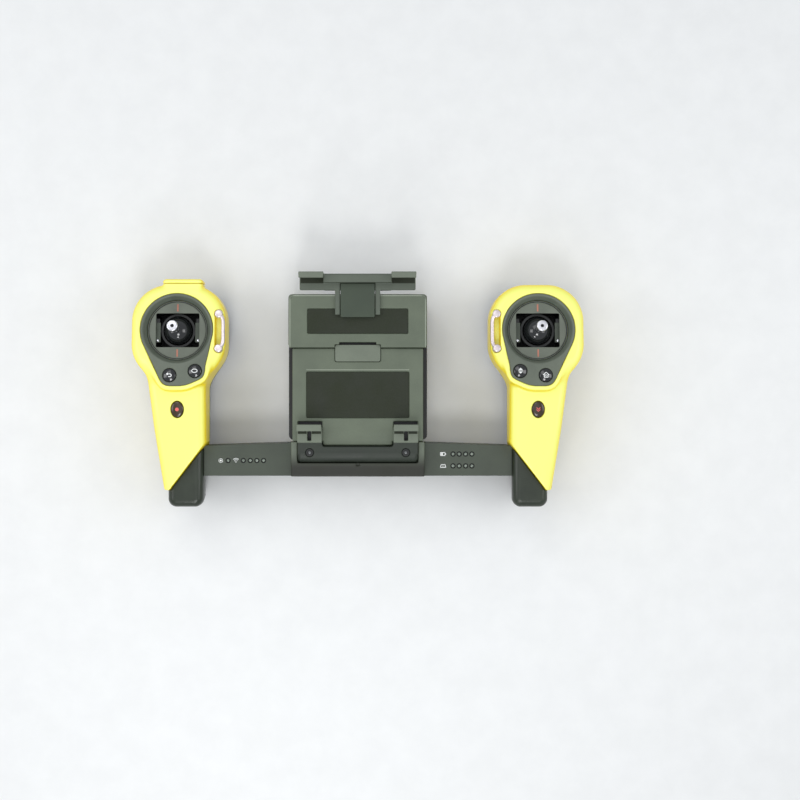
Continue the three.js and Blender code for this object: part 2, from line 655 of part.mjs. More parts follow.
function holder() {
  const group = new THREE.Group();
  const seat = UPPER.z1 - PAD_DEPTH;
  group.add(
    piece('holder_lower_plate', lowerPlate(), 'plate'),
    piece('lower_pad', roundBox(-42.1, 42.1, LOWER_PAD.y0 + 0.4, LOWER_PAD.y1 - 0.4, 55.1, 55.8, 1), 'pad'),
    piece('holder_bracket', bracket(), 'housing'),
    piece('left_bracket_screw', bracketScrew(-39.5), 'screw'),
    piece('right_bracket_screw', bracketScrew(39.5), 'screw'),
    piece('left_bottom_jaw_pad', jawPad(-48, -30.5, BRACKET.y1 + GAP, 57, 67.5), 'pad'),
    piece('right_bottom_jaw_pad', jawPad(30.5, 48, BRACKET.y1 + GAP, 57, 67.5), 'pad'),
    piece('holder_upper_plate', upperPlate(), 'plate'),
    piece('upper_pad', roundBox(-41.1, 41.1, UPPER_PAD.y0 + 0.4, UPPER_PAD.y1 - 0.4, seat + GAP, seat + 1, 1), 'pad'),
    piece('extension_latch', roundBox(-LATCH.x, LATCH.x, LATCH.y0, LATCH.y1, LATCH.z0, LATCH.z1, 1.5), 'plate'),
    piece('top_clamp', topClamp(), 'plate'),
    piece('clamp_cover', wideBox(13.9, 62.5, 90, UPPER.z1 + 0.5, 63.4), 'plate'),
    piece('left_top_jaw_pad', jawPad(-47, -29, CLAMP.y1 - 3.5, 62.5, 73.5), 'pad'),
    piece('right_top_jaw_pad', jawPad(29, 47, CLAMP.y1 - 3.5, 62.5, 73.5), 'pad'),
  );
  return group;
}

// ---------------------------------------------------------------- assembly
const controller = new THREE.Group();
controller.add(...grip('left'), ...grip('right'), bridge(), radio(), holder());
controller.position.y = -MIDDLE_Y;

export default controller;
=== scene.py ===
"""Looks of a handheld ground control station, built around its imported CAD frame.

Shapes are drawn in millimetres in the design's own frame: +X to the user's right, +Y away
from the user, +Z up, Z = 0 on the table. make_piece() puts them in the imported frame.
"""
import json
import math

import bmesh
import bpy
import numpy as np
from mathutils import Matrix, Vector

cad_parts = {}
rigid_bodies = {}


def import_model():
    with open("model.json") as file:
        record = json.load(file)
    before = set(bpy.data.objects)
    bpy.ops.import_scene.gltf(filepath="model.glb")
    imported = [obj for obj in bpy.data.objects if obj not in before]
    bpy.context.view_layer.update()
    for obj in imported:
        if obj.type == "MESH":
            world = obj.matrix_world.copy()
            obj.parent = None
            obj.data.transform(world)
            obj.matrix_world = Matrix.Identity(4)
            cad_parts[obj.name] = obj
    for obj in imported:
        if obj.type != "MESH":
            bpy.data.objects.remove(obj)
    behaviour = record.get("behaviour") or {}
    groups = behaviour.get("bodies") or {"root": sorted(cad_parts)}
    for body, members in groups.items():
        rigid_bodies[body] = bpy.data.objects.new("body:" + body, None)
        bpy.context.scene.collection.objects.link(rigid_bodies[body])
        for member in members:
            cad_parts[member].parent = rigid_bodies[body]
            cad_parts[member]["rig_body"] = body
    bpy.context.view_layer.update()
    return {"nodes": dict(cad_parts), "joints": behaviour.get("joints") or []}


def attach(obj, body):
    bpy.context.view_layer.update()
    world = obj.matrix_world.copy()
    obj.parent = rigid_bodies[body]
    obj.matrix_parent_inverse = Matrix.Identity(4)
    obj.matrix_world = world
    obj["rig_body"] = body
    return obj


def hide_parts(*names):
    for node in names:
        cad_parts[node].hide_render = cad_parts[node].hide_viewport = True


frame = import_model()

# ---- driving sizes, in mm
MM = 0.001
CASING_STEP, PLATE_STEP, FINE_STEP = 0.8, 0.55, 0.5
JOINTS = {joint["name"]: joint for joint in frame["joints"]}
HINGE_Y, HINGE_Z = -50.0, 53.0
SHIFT_Y = JOINTS["holder_tilt"]["pos_m"][1] / MM - HINGE_Y

GRIP_X, GRIP_Y, FACE_Z = 148.0, 52.5, 64.0
LEAN = math.radians(5)
SLOPE = math.radians(3)
HEAD = (-38.2, 40.0, -42.0, 37.7)
HEAD_CORNER = 30.6
HANDLE_TOP_Y, HANDLE_TOP_Z = -50.0, 61.5
SPLIT_Z = 22.0
FOOT = (-9.4, 19.6, -146.5, -80.0)
FOOT_CORNER, FOOT_TOP = 7.0, 53.0
RING_RADIUS, RING_BORE = 29.6, 24.8
FUNNEL_RADIUS, FUNNEL_DROP, FUNNEL_CURVE = 29.0, 5.5, 1.8
DRAFT_TOP, DRAFT = 42.0, 0.125
DISC_RADIUS, DISC_TOP, DISC_THICKNESS = 24.4, -5.5, 2.0
WINDOW_X, WINDOW_Y = 17.8, 14.0
PIVOT_Z, BALL_RADIUS, CHEEK_Z = -11.0, 11.5, -7.8
TIP_RADIUS, TIP_FOOT, TIP_TOP = 4.4, 4.5, 19.5
HOLE_RADIUS, HOLE_FLOOR = 1.3, 17.6
BUTTON_RADIUS, BUTTON_GAP, BUTTON_WELL = 5.4, 0.35, 6.2
BUTTONS = {"outer": (-5.2, -37.7), "inner": (15.5, -34.3)}
OVAL_Y, OVAL_RX, OVAL_RY = -65.5, 5.0, 6.5
LOOP_TOP_Y, LOOP_BOTTOM_Y, LOOP_END_X, LOOP_BAR_X = 12.9, -15.6, 34.2, 37.5
LOOP_Z, LOOP_WIRE, LOOP_BOSS = -1.6, 1.6, 3.3
LOOP_GROOVE, LOOP_LEDGE = (31.2, 36.4, -14.6, 11.9), (33.0, 39.5, -14.6, 11.9)
FLAP_X, FLAP_Y, FLAP_Z, FLAP_CORNER = (-12.3, 20.6), (38.2, 41.6), (43.0, 59.5), 3.5

ARM_TOP = 46.0
LED_RADIUS, LENS_RADIUS = 1.9, 1.15
LEFT_LEDS = [(x, -55.7) for x in (-108.2, -95.5, -89.7, -84.2, -78.6)]
RIGHT_LEDS = [(x, y) for y in (-50.3, -60.2) for x in (79.2, 84.3, 89.7, 94.9)]
BARREL = 6.8
BRACKET_X, BRACKET_Y1, NOTCH_X, NOTCH_Y = 49.6, -27.7, 29.2, -43.5
SCREW_X, SCREW_Y = 39.5, -48.5
UPPER_X, UPPER_Y0, UPPER_Y1, UPPER_TOP = 56.9, 37.8, 81.6, 59.5
LOWER_X, LOWER_TOP, LOWER_PAD_TOP_Y = 53.9, 56.0, 18.1
PICTURE_Y = -5.3


# ---- materials
def linear(red, green, blue):
    """A linear colour from 0 to 255 screen values."""
    def one(value):
        value /= 255
        return value / 12.92 if value <= 0.04045 else ((value + 0.055) / 1.055) ** 2.4

    return (one(red), one(green), one(blue), 1.0)


def node_at(tree, kind, **inputs):
    node = tree.nodes.new(kind)
    for name, value in inputs.items():
        node.inputs[name.replace("_", " ")].default_value = value
    return node


def plastic(name, light, dark, roughness, grain_mm, grain, speckle=0.0, metallic=0.0, coat=0.0):
    """Moulded plastic or metal: slow colour drift, fine moulded grain and uneven gloss.

    Takes the lighter and the darker colour, the roughness, the grain's size in mm and its depth.
    """
    material = bpy.data.materials.new(name)
    material.use_nodes = True
    tree = material.node_tree
    link = tree.links.new
    shader = tree.nodes["Principled BSDF"]
    shader.inputs["Metallic"].default_value = metallic
    shader.inputs["Coat Weight"].default_value = coat
    shader.inputs["Coat Roughness"].default_value = 0.12
    place = tree.nodes.new("ShaderNodeTexCoord")

    drift = node_at(tree, "ShaderNodeTexNoise", Scale=38.0, Detail=4.0, Roughness=0.6)
    link(place.outputs["Object"], drift.inputs["Vector"])
    fine = node_at(tree, "ShaderNodeTexNoise", Scale=1000 / grain_mm, Detail=3.0, Roughness=0.7)
    link(place.outputs["Object"], fine.inputs["Vector"])

    ramp = tree.nodes.new("ShaderNodeValToRGB")
    ramp.color_ramp.elements[0].position = 0.35
    ramp.color_ramp.elements[0].color = linear(*dark)
    ramp.color_ramp.elements[1].position = 0.68
    ramp.color_ramp.elements[1].color = linear(*light)
    link(drift.outputs["Fac"], ramp.inputs["Fac"])
    colour = ramp.outputs["Color"]
    if speckle:
        flecks = tree.nodes.new("ShaderNodeMix")
        flecks.data_type = "RGBA"
        flecks.blend_type = "OVERLAY"
        flecks.inputs[0].default_value = speckle
        link(colour, flecks.inputs[6])
        link(fine.outputs["Fac"], flecks.inputs[7])
        colour = flecks.outputs[2]
    link(colour, shader.inputs["Base Color"])

    gloss = node_at(tree, "ShaderNodeMapRange")
    gloss.inputs["From Min"].default_value = 0.3
    gloss.inputs["From Max"].default_value = 0.7
    gloss.inputs["To Min"].default_value = roughness * 0.85
    gloss.inputs["To Max"].default_value = min(1.0, roughness * 1.2)
    link(drift.outputs["Fac"], gloss.inputs["Value"])
    link(gloss.outputs["Result"], shader.inputs["Roughness"])

    bump = node_at(tree, "ShaderNodeBump", Strength=grain, Distance=0.0002)
    link(fine.outputs["Fac"], bump.inputs["Height"])
    link(bump.outputs["Normal"], shader.inputs["Normal"])
    return material


def fade_between(material, colour, source, low, high):
    """Mixes another colour in where `source` rises from low to high."""
    tree = material.node_tree
    link = tree.links.new
    target = tree.nodes["Principled BSDF"].inputs["Base Color"]
    share = node_at(tree, "ShaderNodeMapRange")
    share.inputs["From Min"].default_value = low
    share.inputs["From Max"].default_value = high
    share.interpolation_type = "SMOOTHSTEP"
    place = tree.nodes["Texture Coordinate"]
    parts = tree.nodes.new("ShaderNodeSeparateXYZ")
    socket, axis = source
    link(place.outputs[socket], parts.inputs["Vector"])
    link(parts.outputs[axis], share.inputs["Value"])
    mix = tree.nodes.new("ShaderNodeMix")
    mix.data_type = "RGBA"
    mix.inputs[7].default_value = linear(*colour)
    link(target.links[0].from_socket, mix.inputs[6])
    link(share.outputs["Result"], mix.inputs[0])
    link(mix.outputs[2], target)
    return material


def ribbed_rubber(name, light, dark):
    """Rubber sheet with fine moulded ribs and a dusty, uneven surface."""
    material = plastic(name, light, dark, 0.85, 0.7, 0.5, speckle=0.35)
    tree = material.node_tree
    link = tree.links.new
    place = tree.nodes["Texture Coordinate"]
    ribs = node_at(tree, "ShaderNodeTexWave", Scale=260.0, Distortion=0.6, Detail=1.0)
    ribs.bands_direction = "Y"
    link(place.outputs["Object"], ribs.inputs["Vector"])
    below = tree.nodes["Bump"]
    bump = node_at(tree, "ShaderNodeBump", Strength=0.35, Distance=0.0002)
    link(ribs.outputs["Fac"], bump.inputs["Height"])
    link(below.outputs["Normal"], bump.inputs["Normal"])
    link(bump.outputs["Normal"], tree.nodes["Principled BSDF"].inputs["Normal"])
    return material


def make_materials():
    yellow = plastic("shell_yellow", (255, 230, 40), (252, 224, 32), 0.36, 0.5, 0.10, coat=0.15)
    block = plastic("block_plastic", (31, 33, 21), (26, 28, 17), 0.50, 0.45, 0.40, speckle=0.25)
    block_light = [(SHIFT_Y + y) * MM for y in (-62, -46)]
    return {
        # Painted light: the shell is mixed towards a pale yellow where its surface faces up, a painted sheen
        # on the tops, and stays golden on the walls as painted shade.
        "yellow": fade_between(yellow, (244, 250, 130), ("Normal", "Z"), 0.35, 0.98),
        "casing": plastic("dark_casing", (42, 50, 37), (34, 41, 30), 0.32, 0.45, 0.25, speckle=0.15),
        "housing": plastic("housing_plastic", (18, 19, 17), (13, 14, 12), 0.45, 0.45, 0.35, speckle=0.2),
        "bridge": plastic("bridge_plastic", (66, 74, 62), (58, 65, 54), 0.50, 0.45, 0.40, speckle=0.25),
        "block": fade_between(block, (96, 104, 90), ("Object", "Y"), *block_light),
        "bracket": plastic("bracket_plastic", (38, 46, 36), (32, 39, 30), 0.50, 0.45, 0.45, speckle=0.3),
        "plate": plastic("holder_plastic", (98, 107, 90), (88, 97, 81), 0.55, 0.5, 0.45, speckle=0.3),
        "latch": plastic("latch_plastic", (110, 118, 103), (100, 108, 94), 0.55, 0.5, 0.45, speckle=0.3),
        "clamp": plastic("clamp_plastic", (88, 96, 84), (80, 88, 76), 0.55, 0.5, 0.5, speckle=0.3),
        "cover": plastic("cover_plastic", (60, 71, 56), (52, 63, 49), 0.55, 0.5, 0.5, speckle=0.3),
        # Painted highlight: a lighter colour for the thin raised lines along the holder plates' edges.
        "rim": plastic("rim_painted_highlight", (150, 157, 142), (138, 145, 130), 0.45, 0.5, 0.2),
        "face": plastic("face_plastic", (98, 105, 92), (89, 96, 84), 0.40, 0.4, 0.35, speckle=0.2),
        "disc": plastic("disc_plastic", (104, 110, 98), (95, 101, 89), 0.45, 0.4, 0.35, speckle=0.2),
        "pad": ribbed_rubber("rubber_pad", (44, 49, 36), (36, 41, 29)),
        "gloss": plastic("button_gloss", (26, 28, 29), (18, 20, 21), 0.12, 0.8, 0.03, coat=0.5),
        "black": plastic("inner_black", (24, 26, 25), (14, 15, 15), 0.5, 0.5, 0.3),
        "metal": plastic("polished_metal", (236, 236, 240), (214, 214, 220), 0.26, 0.3, 0.08, metallic=1.0),
        "loop": plastic("loop_metal", (240, 228, 230), (222, 210, 212), 0.30, 0.3, 0.06, metallic=0.7),
        "screw": plastic("screw_steel", (110, 112, 112), (84, 86, 86), 0.35, 0.3, 0.2, metallic=1.0),
        "alloy": plastic("heat_sink_aluminium", (190, 192, 196), (160, 162, 166), 0.4, 0.4, 0.2, metallic=1.0),
        "board": plastic("circuit_board", (40, 116, 62), (24, 84, 44), 0.4, 0.9, 0.4, speckle=0.4),
        "light": plastic("light_pipe", (128, 140, 126), (98, 108, 96), 0.18, 0.5, 0.05, coat=0.4),
        "white": plastic("white_print", (240, 242, 240), (226, 229, 226), 0.5, 0.3, 0.1),
        "orange": plastic("orange_print", (190, 124, 102), (172, 108, 88), 0.5, 0.3, 0.1),
        "red": plastic("red_print", (232, 112, 104), (214, 92, 88), 0.45, 0.3, 0.1),
        "brown": plastic("oval_gloss", (60, 42, 12), (42, 28, 8), 0.2, 0.6, 0.04, coat=0.4),
    }


# ---- distance fields
def circle(x, y, cx, cy, radius):
    return np.hypot(x - cx, y - cy) - radius


def segment(x, y, start, end):
    """Distance to a straight line between two points."""
    (ax, ay), (bx, by) = start, end
    dx, dy = bx - ax, by - ay
    along = np.clip(((x - ax) * dx + (y - ay) * dy) / (dx * dx + dy * dy), 0, 1)
    return np.hypot(x - ax - dx * along, y - ay - dy * along)


def polygon(x, y, points):
    """Signed distance to a closed outline, negative inside."""
    nearest = None
    flips = 0
    for start, end in zip(points, points[1:] + points[:1]):
        away = segment(x, y, start, end)
        nearest = away if nearest is None else np.minimum(nearest, away)
        crosses = (start[1] > y) != (end[1] > y)
        rise = end[1] - start[1] or 1e-9
        at = (end[0] - start[0]) * (y - start[1]) / rise + start[0]
        flips = flips + (crosses & (x < at))
    return np.where(flips % 2 == 1, -nearest, nearest)


def rectangle(x, y, x0, x1, y0, y1, corner=0.0):
    dx = np.abs(x - (x0 + x1) / 2) - (x1 - x0) / 2 + corner
    dy = np.abs(y - (y0 + y1) / 2) - (y1 - y0) / 2 + corner
    outside = np.hypot(np.maximum(dx, 0), np.maximum(dy, 0))
    return outside + np.minimum(np.maximum(dx, dy), 0) - corner


def round_max(a, b, radius):
    """Both at once, with the edge between them rounded off."""
    outside = np.hypot(np.maximum(a + radius, 0), np.maximum(b + radius, 0))
    return np.minimum(np.maximum(a, b), -radius) + outside


def round_min(a, b, radius):
    """Either, with a fillet in the corner between them."""
    inside = np.hypot(np.maximum(radius - a, 0), np.maximum(radius - b, 0))
    return np.maximum(np.minimum(a, b), radius) - inside


def carve(base, tool, radius=0.5):
    return round_max(base, -tool, radius)


def net(field, low, high, step):
    """A closed mesh of field(x, y, z) = 0: one point in each grid cell that the surface crosses."""
    axes = [np.arange(a, b + step, step) for a, b in zip(low, high)]
    x, y, z = np.ix_(*axes)
    value = np.broadcast_to(field(x, y, z), [len(a) for a in axes]).astype(float)
    inside = value < 0
    cells = tuple(n - 1 for n in value.shape)

    def corner(array, offset):
        return array[tuple(slice(o, o + n) for o, n in zip(offset, cells))]

    offsets = [(i, j, k) for i in (0, 1) for j in (0, 1) for k in (0, 1)]
    count = sum(corner(inside, o).astype(np.int8) for o in offsets)
    active = (count > 0) & (count < 8)
    where = np.argwhere(active)
    total = np.zeros((len(where), 3))
    hits = np.zeros(len(where))
    for start in offsets:
        for axis in range(3):
            if start[axis]:
                continue
            end = tuple(1 if i == axis else o for i, o in enumerate(start))
            a, b = corner(value, start)[active], corner(value, end)[active]
            crossing = (a < 0) != (b < 0)
            share = np.where(crossing, a / np.where(crossing, a - b, 1), 0)
            point = np.tile(np.array(start, float), (len(where), 1))
            point[:, axis] = share
            total[crossing] += point[crossing]
            hits += crossing
    points = np.array(low) + (where + total / hits[:, None]) * step

    def at(p):
        return field(p[:, 0], p[:, 1], p[:, 2])

    nudge = step * 0.1
    for _ in range(3):
        slope = [(at(points + d) - at(points - d)) / (2 * nudge) for d in np.eye(3) * nudge]
        slope = np.stack(slope, axis=1)
        move = at(points)[:, None] * slope / np.maximum((slope ** 2).sum(1, keepdims=True), 0.25)
        points = points - np.clip(move, -step * 0.5, step * 0.5)

    index = np.full(cells, -1)
    index[active] = np.arange(len(where))
    faces = []
    for axis in range(3):
        u, v = (axis + 1) % 3, (axis + 2) % 3
        first = np.take(inside, range(cells[axis]), axis)
        second = np.take(inside, range(1, cells[axis] + 1), axis)
        edges = np.argwhere(first != second)
        inner = (edges[:, u] > 0) & (edges[:, v] > 0) & (edges[:, u] < cells[u]) & (edges[:, v] < cells[v])
        edges = edges[inner]
        outward = first[tuple(edges.T)]
        loop = []
        for du, dv in ((0, 0), (-1, 0), (-1, -1), (0, -1)):
            cell = edges.copy()
            cell[:, u] += du
            cell[:, v] += dv
            loop.append(index[tuple(cell.T)])
        quads = np.stack(loop, axis=1)
        quads[~outward] = quads[~outward][:, ::-1]
        faces.append(quads)
    return points, np.concatenate(faces)


# ---- meshes
def turned(profile, sides=64):
    """A solid turned about Z from (radius, z) points that start and end on the axis."""
    points, faces, rings = [], [], []
    for radius, z in profile:
        if radius < 1e-6:
            rings.append([len(points)])
            points.append((0, 0, z))
            continue
        rings.append(list(range(len(points), len(points) + sides)))
        for i in range(sides):
            angle = 2 * math.pi * i / sides
            points.append((radius * math.cos(angle), radius * math.sin(angle), z))
    for low, high in zip(rings, rings[1:]):
        for i in range(sides):
            j = (i + 1) % sides
            loop = [low[i % len(low)], low[j % len(low)], high[j % len(high)], high[i % len(high)]]
            loop = list(dict.fromkeys(loop))
            if len(loop) > 2:
                faces.append(loop)
    return np.array(points, float), faces


def ring(profile, sides=64):
    """A closed ring turned about Z from a closed loop of (radius, z) points, counter-clockwise."""
    points, faces = [], []
    count = len(profile)
    for i in range(sides):
        angle = 2 * math.pi * i / sides
        points += [(r * math.cos(angle), r * math.sin(angle), z) for r, z in profile]
    for i in range(sides):
        j = (i + 1) % sides
        for k in range(count):
            m = (k + 1) % count
            faces.append([i * count + k, j * count + k, j * count + m, i * count + m])
    return np.array(points, float), faces


def arc(cx, cy, radius, start, end, steps):
    angles = [math.radians(start + (end - start) * i / steps) for i in range(steps + 1)]
    return [(cx + radius * math.cos(a), cy + radius * math.sin(a)) for a in angles]


def swept(path, radius, sides=16):
    """A round wire along a list of points, with both ends closed."""
    path = [Vector(p) for p in path]
    points, faces = [], []
    side = Vector((0, 0, 1))
    for i, place in enumerate(path):
        along = (path[min(i + 1, len(path) - 1)] - path[max(i - 1, 0)]).normalized()
        across = along.cross(side).normalized()
        up = across.cross(along)
        for k in range(sides):
            angle = 2 * math.pi * k / sides
            points.append(place + radius * (math.cos(angle) * across + math.sin(angle) * up))
    for i in range(len(path) - 1):
        for k in range(sides):
            m = (k + 1) % sides
            faces.append([i * sides + k, i * sides + m, (i + 1) * sides + m, (i + 1) * sides + k])
    faces.append(list(range(sides))[::-1])
    faces.append([(len(path) - 1) * sides + k for k in range(sides)])
    return np.array(points, float), faces


def smooth_path(corners, steps):
    """A Catmull-Rom curve through a few points."""
    ends = [Vector(corners[0])] + [Vector(c) for c in corners] + [Vector(corners[-1])]
    path = []
    for a, b, c, d in zip(ends, ends[1:], ends[2:], ends[3:]):
        for i in range(steps):
            t = i / steps
            path.append(0.5 * (2 * b + (c - a) * t + (2 * a - 5 * b + 4 * c - d) * t * t
                               + (3 * b - a - 3 * c + d) * t ** 3))
    return path + [ends[-1]]


def outline_box(x0, x1, y0, y1):
    return [(x0, y0), (x1, y0), (x1, y1), (x0, y1)]


def plaque(outline, thickness, height=lambda x, y: 0.0):
    """A thin flat shape on a surface: a counter-clockwise outline laid on height(x, y)."""
    count = len(outline)
    points = [(x, y, height(x, y)) for x, y in outline]
    points += [(x, y, height(x, y) + thickness) for x, y in outline]
    faces = [list(range(count))[::-1], list(range(count, 2 * count))]
    faces += [[i, (i + 1) % count, count + (i + 1) % count, count + i] for i in range(count)]
    return np.array(points, float), faces


def stroke(path, width, closed=False):
    """The outline pieces of a line of constant width: one quad for each step."""
    path = list(path) + ([path[0]] if closed else [])
    quads = []
    for (ax, ay), (bx, by) in zip(path, path[1:]):
        length = math.hypot(bx - ax, by - ay)
        nx, ny = -(by - ay) / length * width / 2, (bx - ax) / length * width / 2
        ex, ey = (bx - ax) / length * width * 0.2, (by - ay) / length * width * 0.2
        quads.append([(ax - ex - nx, ay - ey - ny), (bx + ex - nx, by + ey - ny),
                      (bx + ex + nx, by + ey + ny), (ax - ex + nx, ay - ey + ny)])
    return quads


def moved(shape, x=0.0, y=0.0, z=0.0):
    return shape[0] + np.array((x, y, z)), shape[1]


def grip_place(side, z=0):
    """From a grip's own frame, drawn for the left hand, to the design's frame."""
    return Matrix.Translation((-GRIP_X if side == "left" else GRIP_X, GRIP_Y, z))


def face_place(side):
    """From the face plate's own plane to the design's frame."""
    return grip_place(side, FACE_Z) @ Matrix.Rotation(-LEAN, 4, "X")


def make_piece(name, parts, matrix=None, mirror=False, sharp=None):
    """One object from (shape, material) parts, each a (points, faces) pair in mm."""
    matrix = matrix or Matrix.Identity(4)
    turn = np.array(matrix.to_3x3())
    offset = np.array(matrix.translation)
    points, faces, slots, materials = [], [], [], []
    for (part_points, part_faces), material in parts:
        start = sum(len(p) for p in points)
        part_points = np.asarray(part_points, float) * ((-1, 1, 1) if mirror else (1, 1, 1))
        points.append(part_points @ turn.T + offset)
        loops = part_faces.tolist() if isinstance(part_faces, np.ndarray) else part_faces
        faces += [[start + i for i in (loop[::-1] if mirror else loop)] for loop in loops]
        if material not in materials:
            materials.append(material)
        slots += [materials.index(material)] * len(loops)
    points = (np.concatenate(points) + (0, SHIFT_Y, 0)) * MM
    mesh = bpy.data.meshes.new(name)
    mesh.from_pydata(points.tolist(), [], faces)
    for material in materials:
        mesh.materials.append(material)
    mesh.polygons.foreach_set("material_index", slots)
    mesh.polygons.foreach_set("use_smooth", [True] * len(faces))
    mesh.update()
    piece = bpy.data.objects.new(name, mesh)
    bpy.context.scene.collection.objects.link(piece)
    if sharp:
        mark_sharp(mesh, sharp)
    return piece


def split_part(shape, chosen, first, second):
    """Two parts of one surface: the faces whose middle is chosen(x, y, z), and the rest."""
    points, faces = shape
    middle = points[faces].mean(axis=1)
    pick = chosen(middle[:, 0], middle[:, 1], middle[:, 2])
    return [((points, faces[pick]), first), ((points, faces[~pick]), second)]


def mark_sharp(mesh, degrees):
    """Keeps the edges that turn more than this angle crisp."""
    work = bmesh.new()
    work.from_mesh(mesh)
    for edge in work.edges:
        if len(edge.link_faces) == 2 and edge.calc_face_angle() > math.radians(degrees):
            edge.smooth = False
    work.to_mesh(mesh)
    work.free()


def settle(piece, body, slot, *nodes):
    """Rides on its body and hides the CAD nodes that the piece stands for; the slot is not used."""
    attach(piece, body)
    if nodes:
        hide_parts(*nodes)
    return piece


def thin_out(piece, ratio):
    """Fewer faces where the surface is flat enough for it."""
    modifier = piece.modifiers.new("thin_out", "DECIMATE")
    modifier.ratio = ratio
    return piece


def refined(node, material, width, slot, segments=2, flat=False):
    """A cleaned copy of a CAD node with rounded edges, which stands for it."""
    source = frame["nodes"][node]
    mesh = source.data.copy()
    mesh.name = node + "_look"
    work = bmesh.new()
    work.from_mesh(mesh)
    bmesh.ops.remove_doubles(work, verts=work.verts, dist=2e-6)
    if flat:
        bmesh.ops.dissolve_limit(work, angle_limit=math.radians(0.6), verts=work.verts, edges=work.edges)
    work.to_mesh(mesh)
    work.free()
    mesh.polygons.foreach_set("use_smooth", [True] * len(mesh.polygons))
    mesh.materials.clear()
    mesh.materials.append(material)
    piece = bpy.data.objects.new(node + "_look", mesh)
    bpy.context.scene.collection.objects.link(piece)
    bevel = piece.modifiers.new("edges", "BEVEL")
    bevel.width = width * MM
    bevel.segments = segments
    bevel.limit_method = "ANGLE"
    bevel.angle_limit = math.radians(32)
    bevel.miter_outer = "MITER_ARC"
    weighted = piece.modifiers.new("normals", "WEIGHTED_NORMAL")
    weighted.keep_sharp = True
    return settle(piece, source["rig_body"], slot, node)


# ---- grip fields
# Drawn for the left hand: ring centre at X = Y = 0, +X towards the middle of the part.
FACE_OUTLINE = arc(0, 0, RING_RADIUS, -15, 205, 60) + [
    (-13.6, -40.2), (-12.2, -42.6), (-10.4, -44.6), (-8.0, -45.9), (-5.0, -46.4), (3.4, -46.4),
    (8.0, -45.7), (12.2, -44.2), (19.0, -41.2), (21.5, -39.5), (22.8, -37.4), (23.6, -34.0), (24.0, -30.0)]
OUTER_SIDE = [(23.5, -22), (-27.9, -22), (-20.5, -82), (-12.8, -131.8)]
HANDLE_RUN = OUTER_SIDE + [(-9.4, -146.5), (23.5, -146.5)]
HANDLE_OUTLINE = OUTER_SIDE + [(-7.5, -132.2), (23.5, -92)]


def face_height(y, z):
    """Height above the face plate's plane."""
    return y * math.sin(LEAN) + (z - FACE_Z) * math.cos(LEAN)


def handle_height(y, z):
    """Height above the handle's upper surface."""
    return -(y - HANDLE_TOP_Y) * math.sin(SLOPE) + (z - HANDLE_TOP_Z) * math.cos(SLOPE)


def face_y(y, z):
    return y * math.cos(LEAN) - (z - FACE_Z) * math.sin(LEAN)


def head_outline(x, y):
    return rectangle(x, y, *HEAD, HEAD_CORNER)


def neck_radius(x):
    """The fillet between head and handle: tight on the outer side, wide on the inner one."""
    return 5.5 + 3.5 * np.tanh(x / 8)


def draft(z):
    """How far the walls lean in below their upper part."""
    return DRAFT * np.maximum(DRAFT_TOP - z, 0)


def grip_outline(x, y, z, handle):
    return round_min(head_outline(x, y), polygon(x, y, handle), neck_radius(x)) + draft(z)


def shell_field(with_port):
    def field(x, y, z):
        above = face_height(y, z)
        fy = face_y(y, z)
        head = round_max(head_outline(x, y), above + 0.2, 8.0)
        collar = round_max(round_max(polygon(x, y, FACE_OUTLINE) - 4.0, above, 2.6), y + 22, 5.0)
        handle = round_max(polygon(x, y, HANDLE_RUN), handle_height(y, z), 8.0)
        block = round_min(round_min(head, handle, 6.0), collar, 2.5)
        block = round_max(block, grip_outline(x, y, z, HANDLE_RUN), 1.5)
        if with_port:
            boss = round_max(rectangle(x, z, *FLAP_X, *FLAP_Z, FLAP_CORNER), np.abs(y - 20) - 17.9, 0.8)
            block = round_min(block, boss, 1.6)
        block = round_max(block, SPLIT_Z - z, 0.7)
        joint = np.minimum(polygon(x, y, HANDLE_OUTLINE), -(y + 60))
        block = round_max(block, joint, 0.5)
        pocket = np.maximum(polygon(x, fy, FACE_OUTLINE) - 0.25, -(above + 2.8))
        bore = np.maximum(circle(x, fy, 0, 0, RING_RADIUS + 0.3), -(above + 38))
        block = carve(block, np.minimum(pocket, bore), 0.35)
        groove = np.maximum(rectangle(x, fy, *LOOP_GROOVE, 2.0), -(above + 9.0))
        ledge = np.maximum(rectangle(x, fy, *LOOP_LEDGE, 2.0), -(above + 3.4))
        block = carve(block, np.minimum(groove, ledge), 0.7)
        for end_y in (LOOP_TOP_Y, LOOP_BOTTOM_Y):
            seat = np.maximum(circle(x, fy, LOOP_END_X, end_y, LOOP_BOSS + 0.3), -(above + 4.2))
            block = carve(block, seat, 0.4)
        for bx, by in BUTTONS.values():
            block = np.maximum(block, -np.maximum(circle(x, fy, bx, by, BUTTON_WELL), -(above + 9)))
        well = np.maximum(oval_distance(x, y) - 0.4, -(handle_height(y, z) + 8.5))
        return carve(block, well, 0.6)
    return field


def oval_distance(x, y):
    """Roughly the distance to the oval button's outline."""
    return (np.hypot(x / OVAL_RX, (y - OVAL_Y) / OVAL_RY) - 1) * OVAL_RX


def base_field(x, y, z):
    handle = polygon(x, y, HANDLE_OUTLINE)
    tray = round_max(grip_outline(x, y, z, HANDLE_OUTLINE), z - (SPLIT_Z - 0.5), 0.7)
    foot = round_max(rectangle(x, y, *FOOT, FOOT_CORNER) + draft(z), z - FOOT_TOP, 6.0)
    foot = carve(foot, np.maximum(handle - 0.4, SPLIT_Z - 0.5 - z), 0.4)
    return round_max(np.minimum(tray, foot), -z, 9.0)


def flap_field(x, y, z):
    near, far = FLAP_Y
    slab = rectangle(x, z, *FLAP_X, *FLAP_Z, FLAP_CORNER)
    return round_max(round_max(slab, y - far, 2.6), near - y, 0.4)


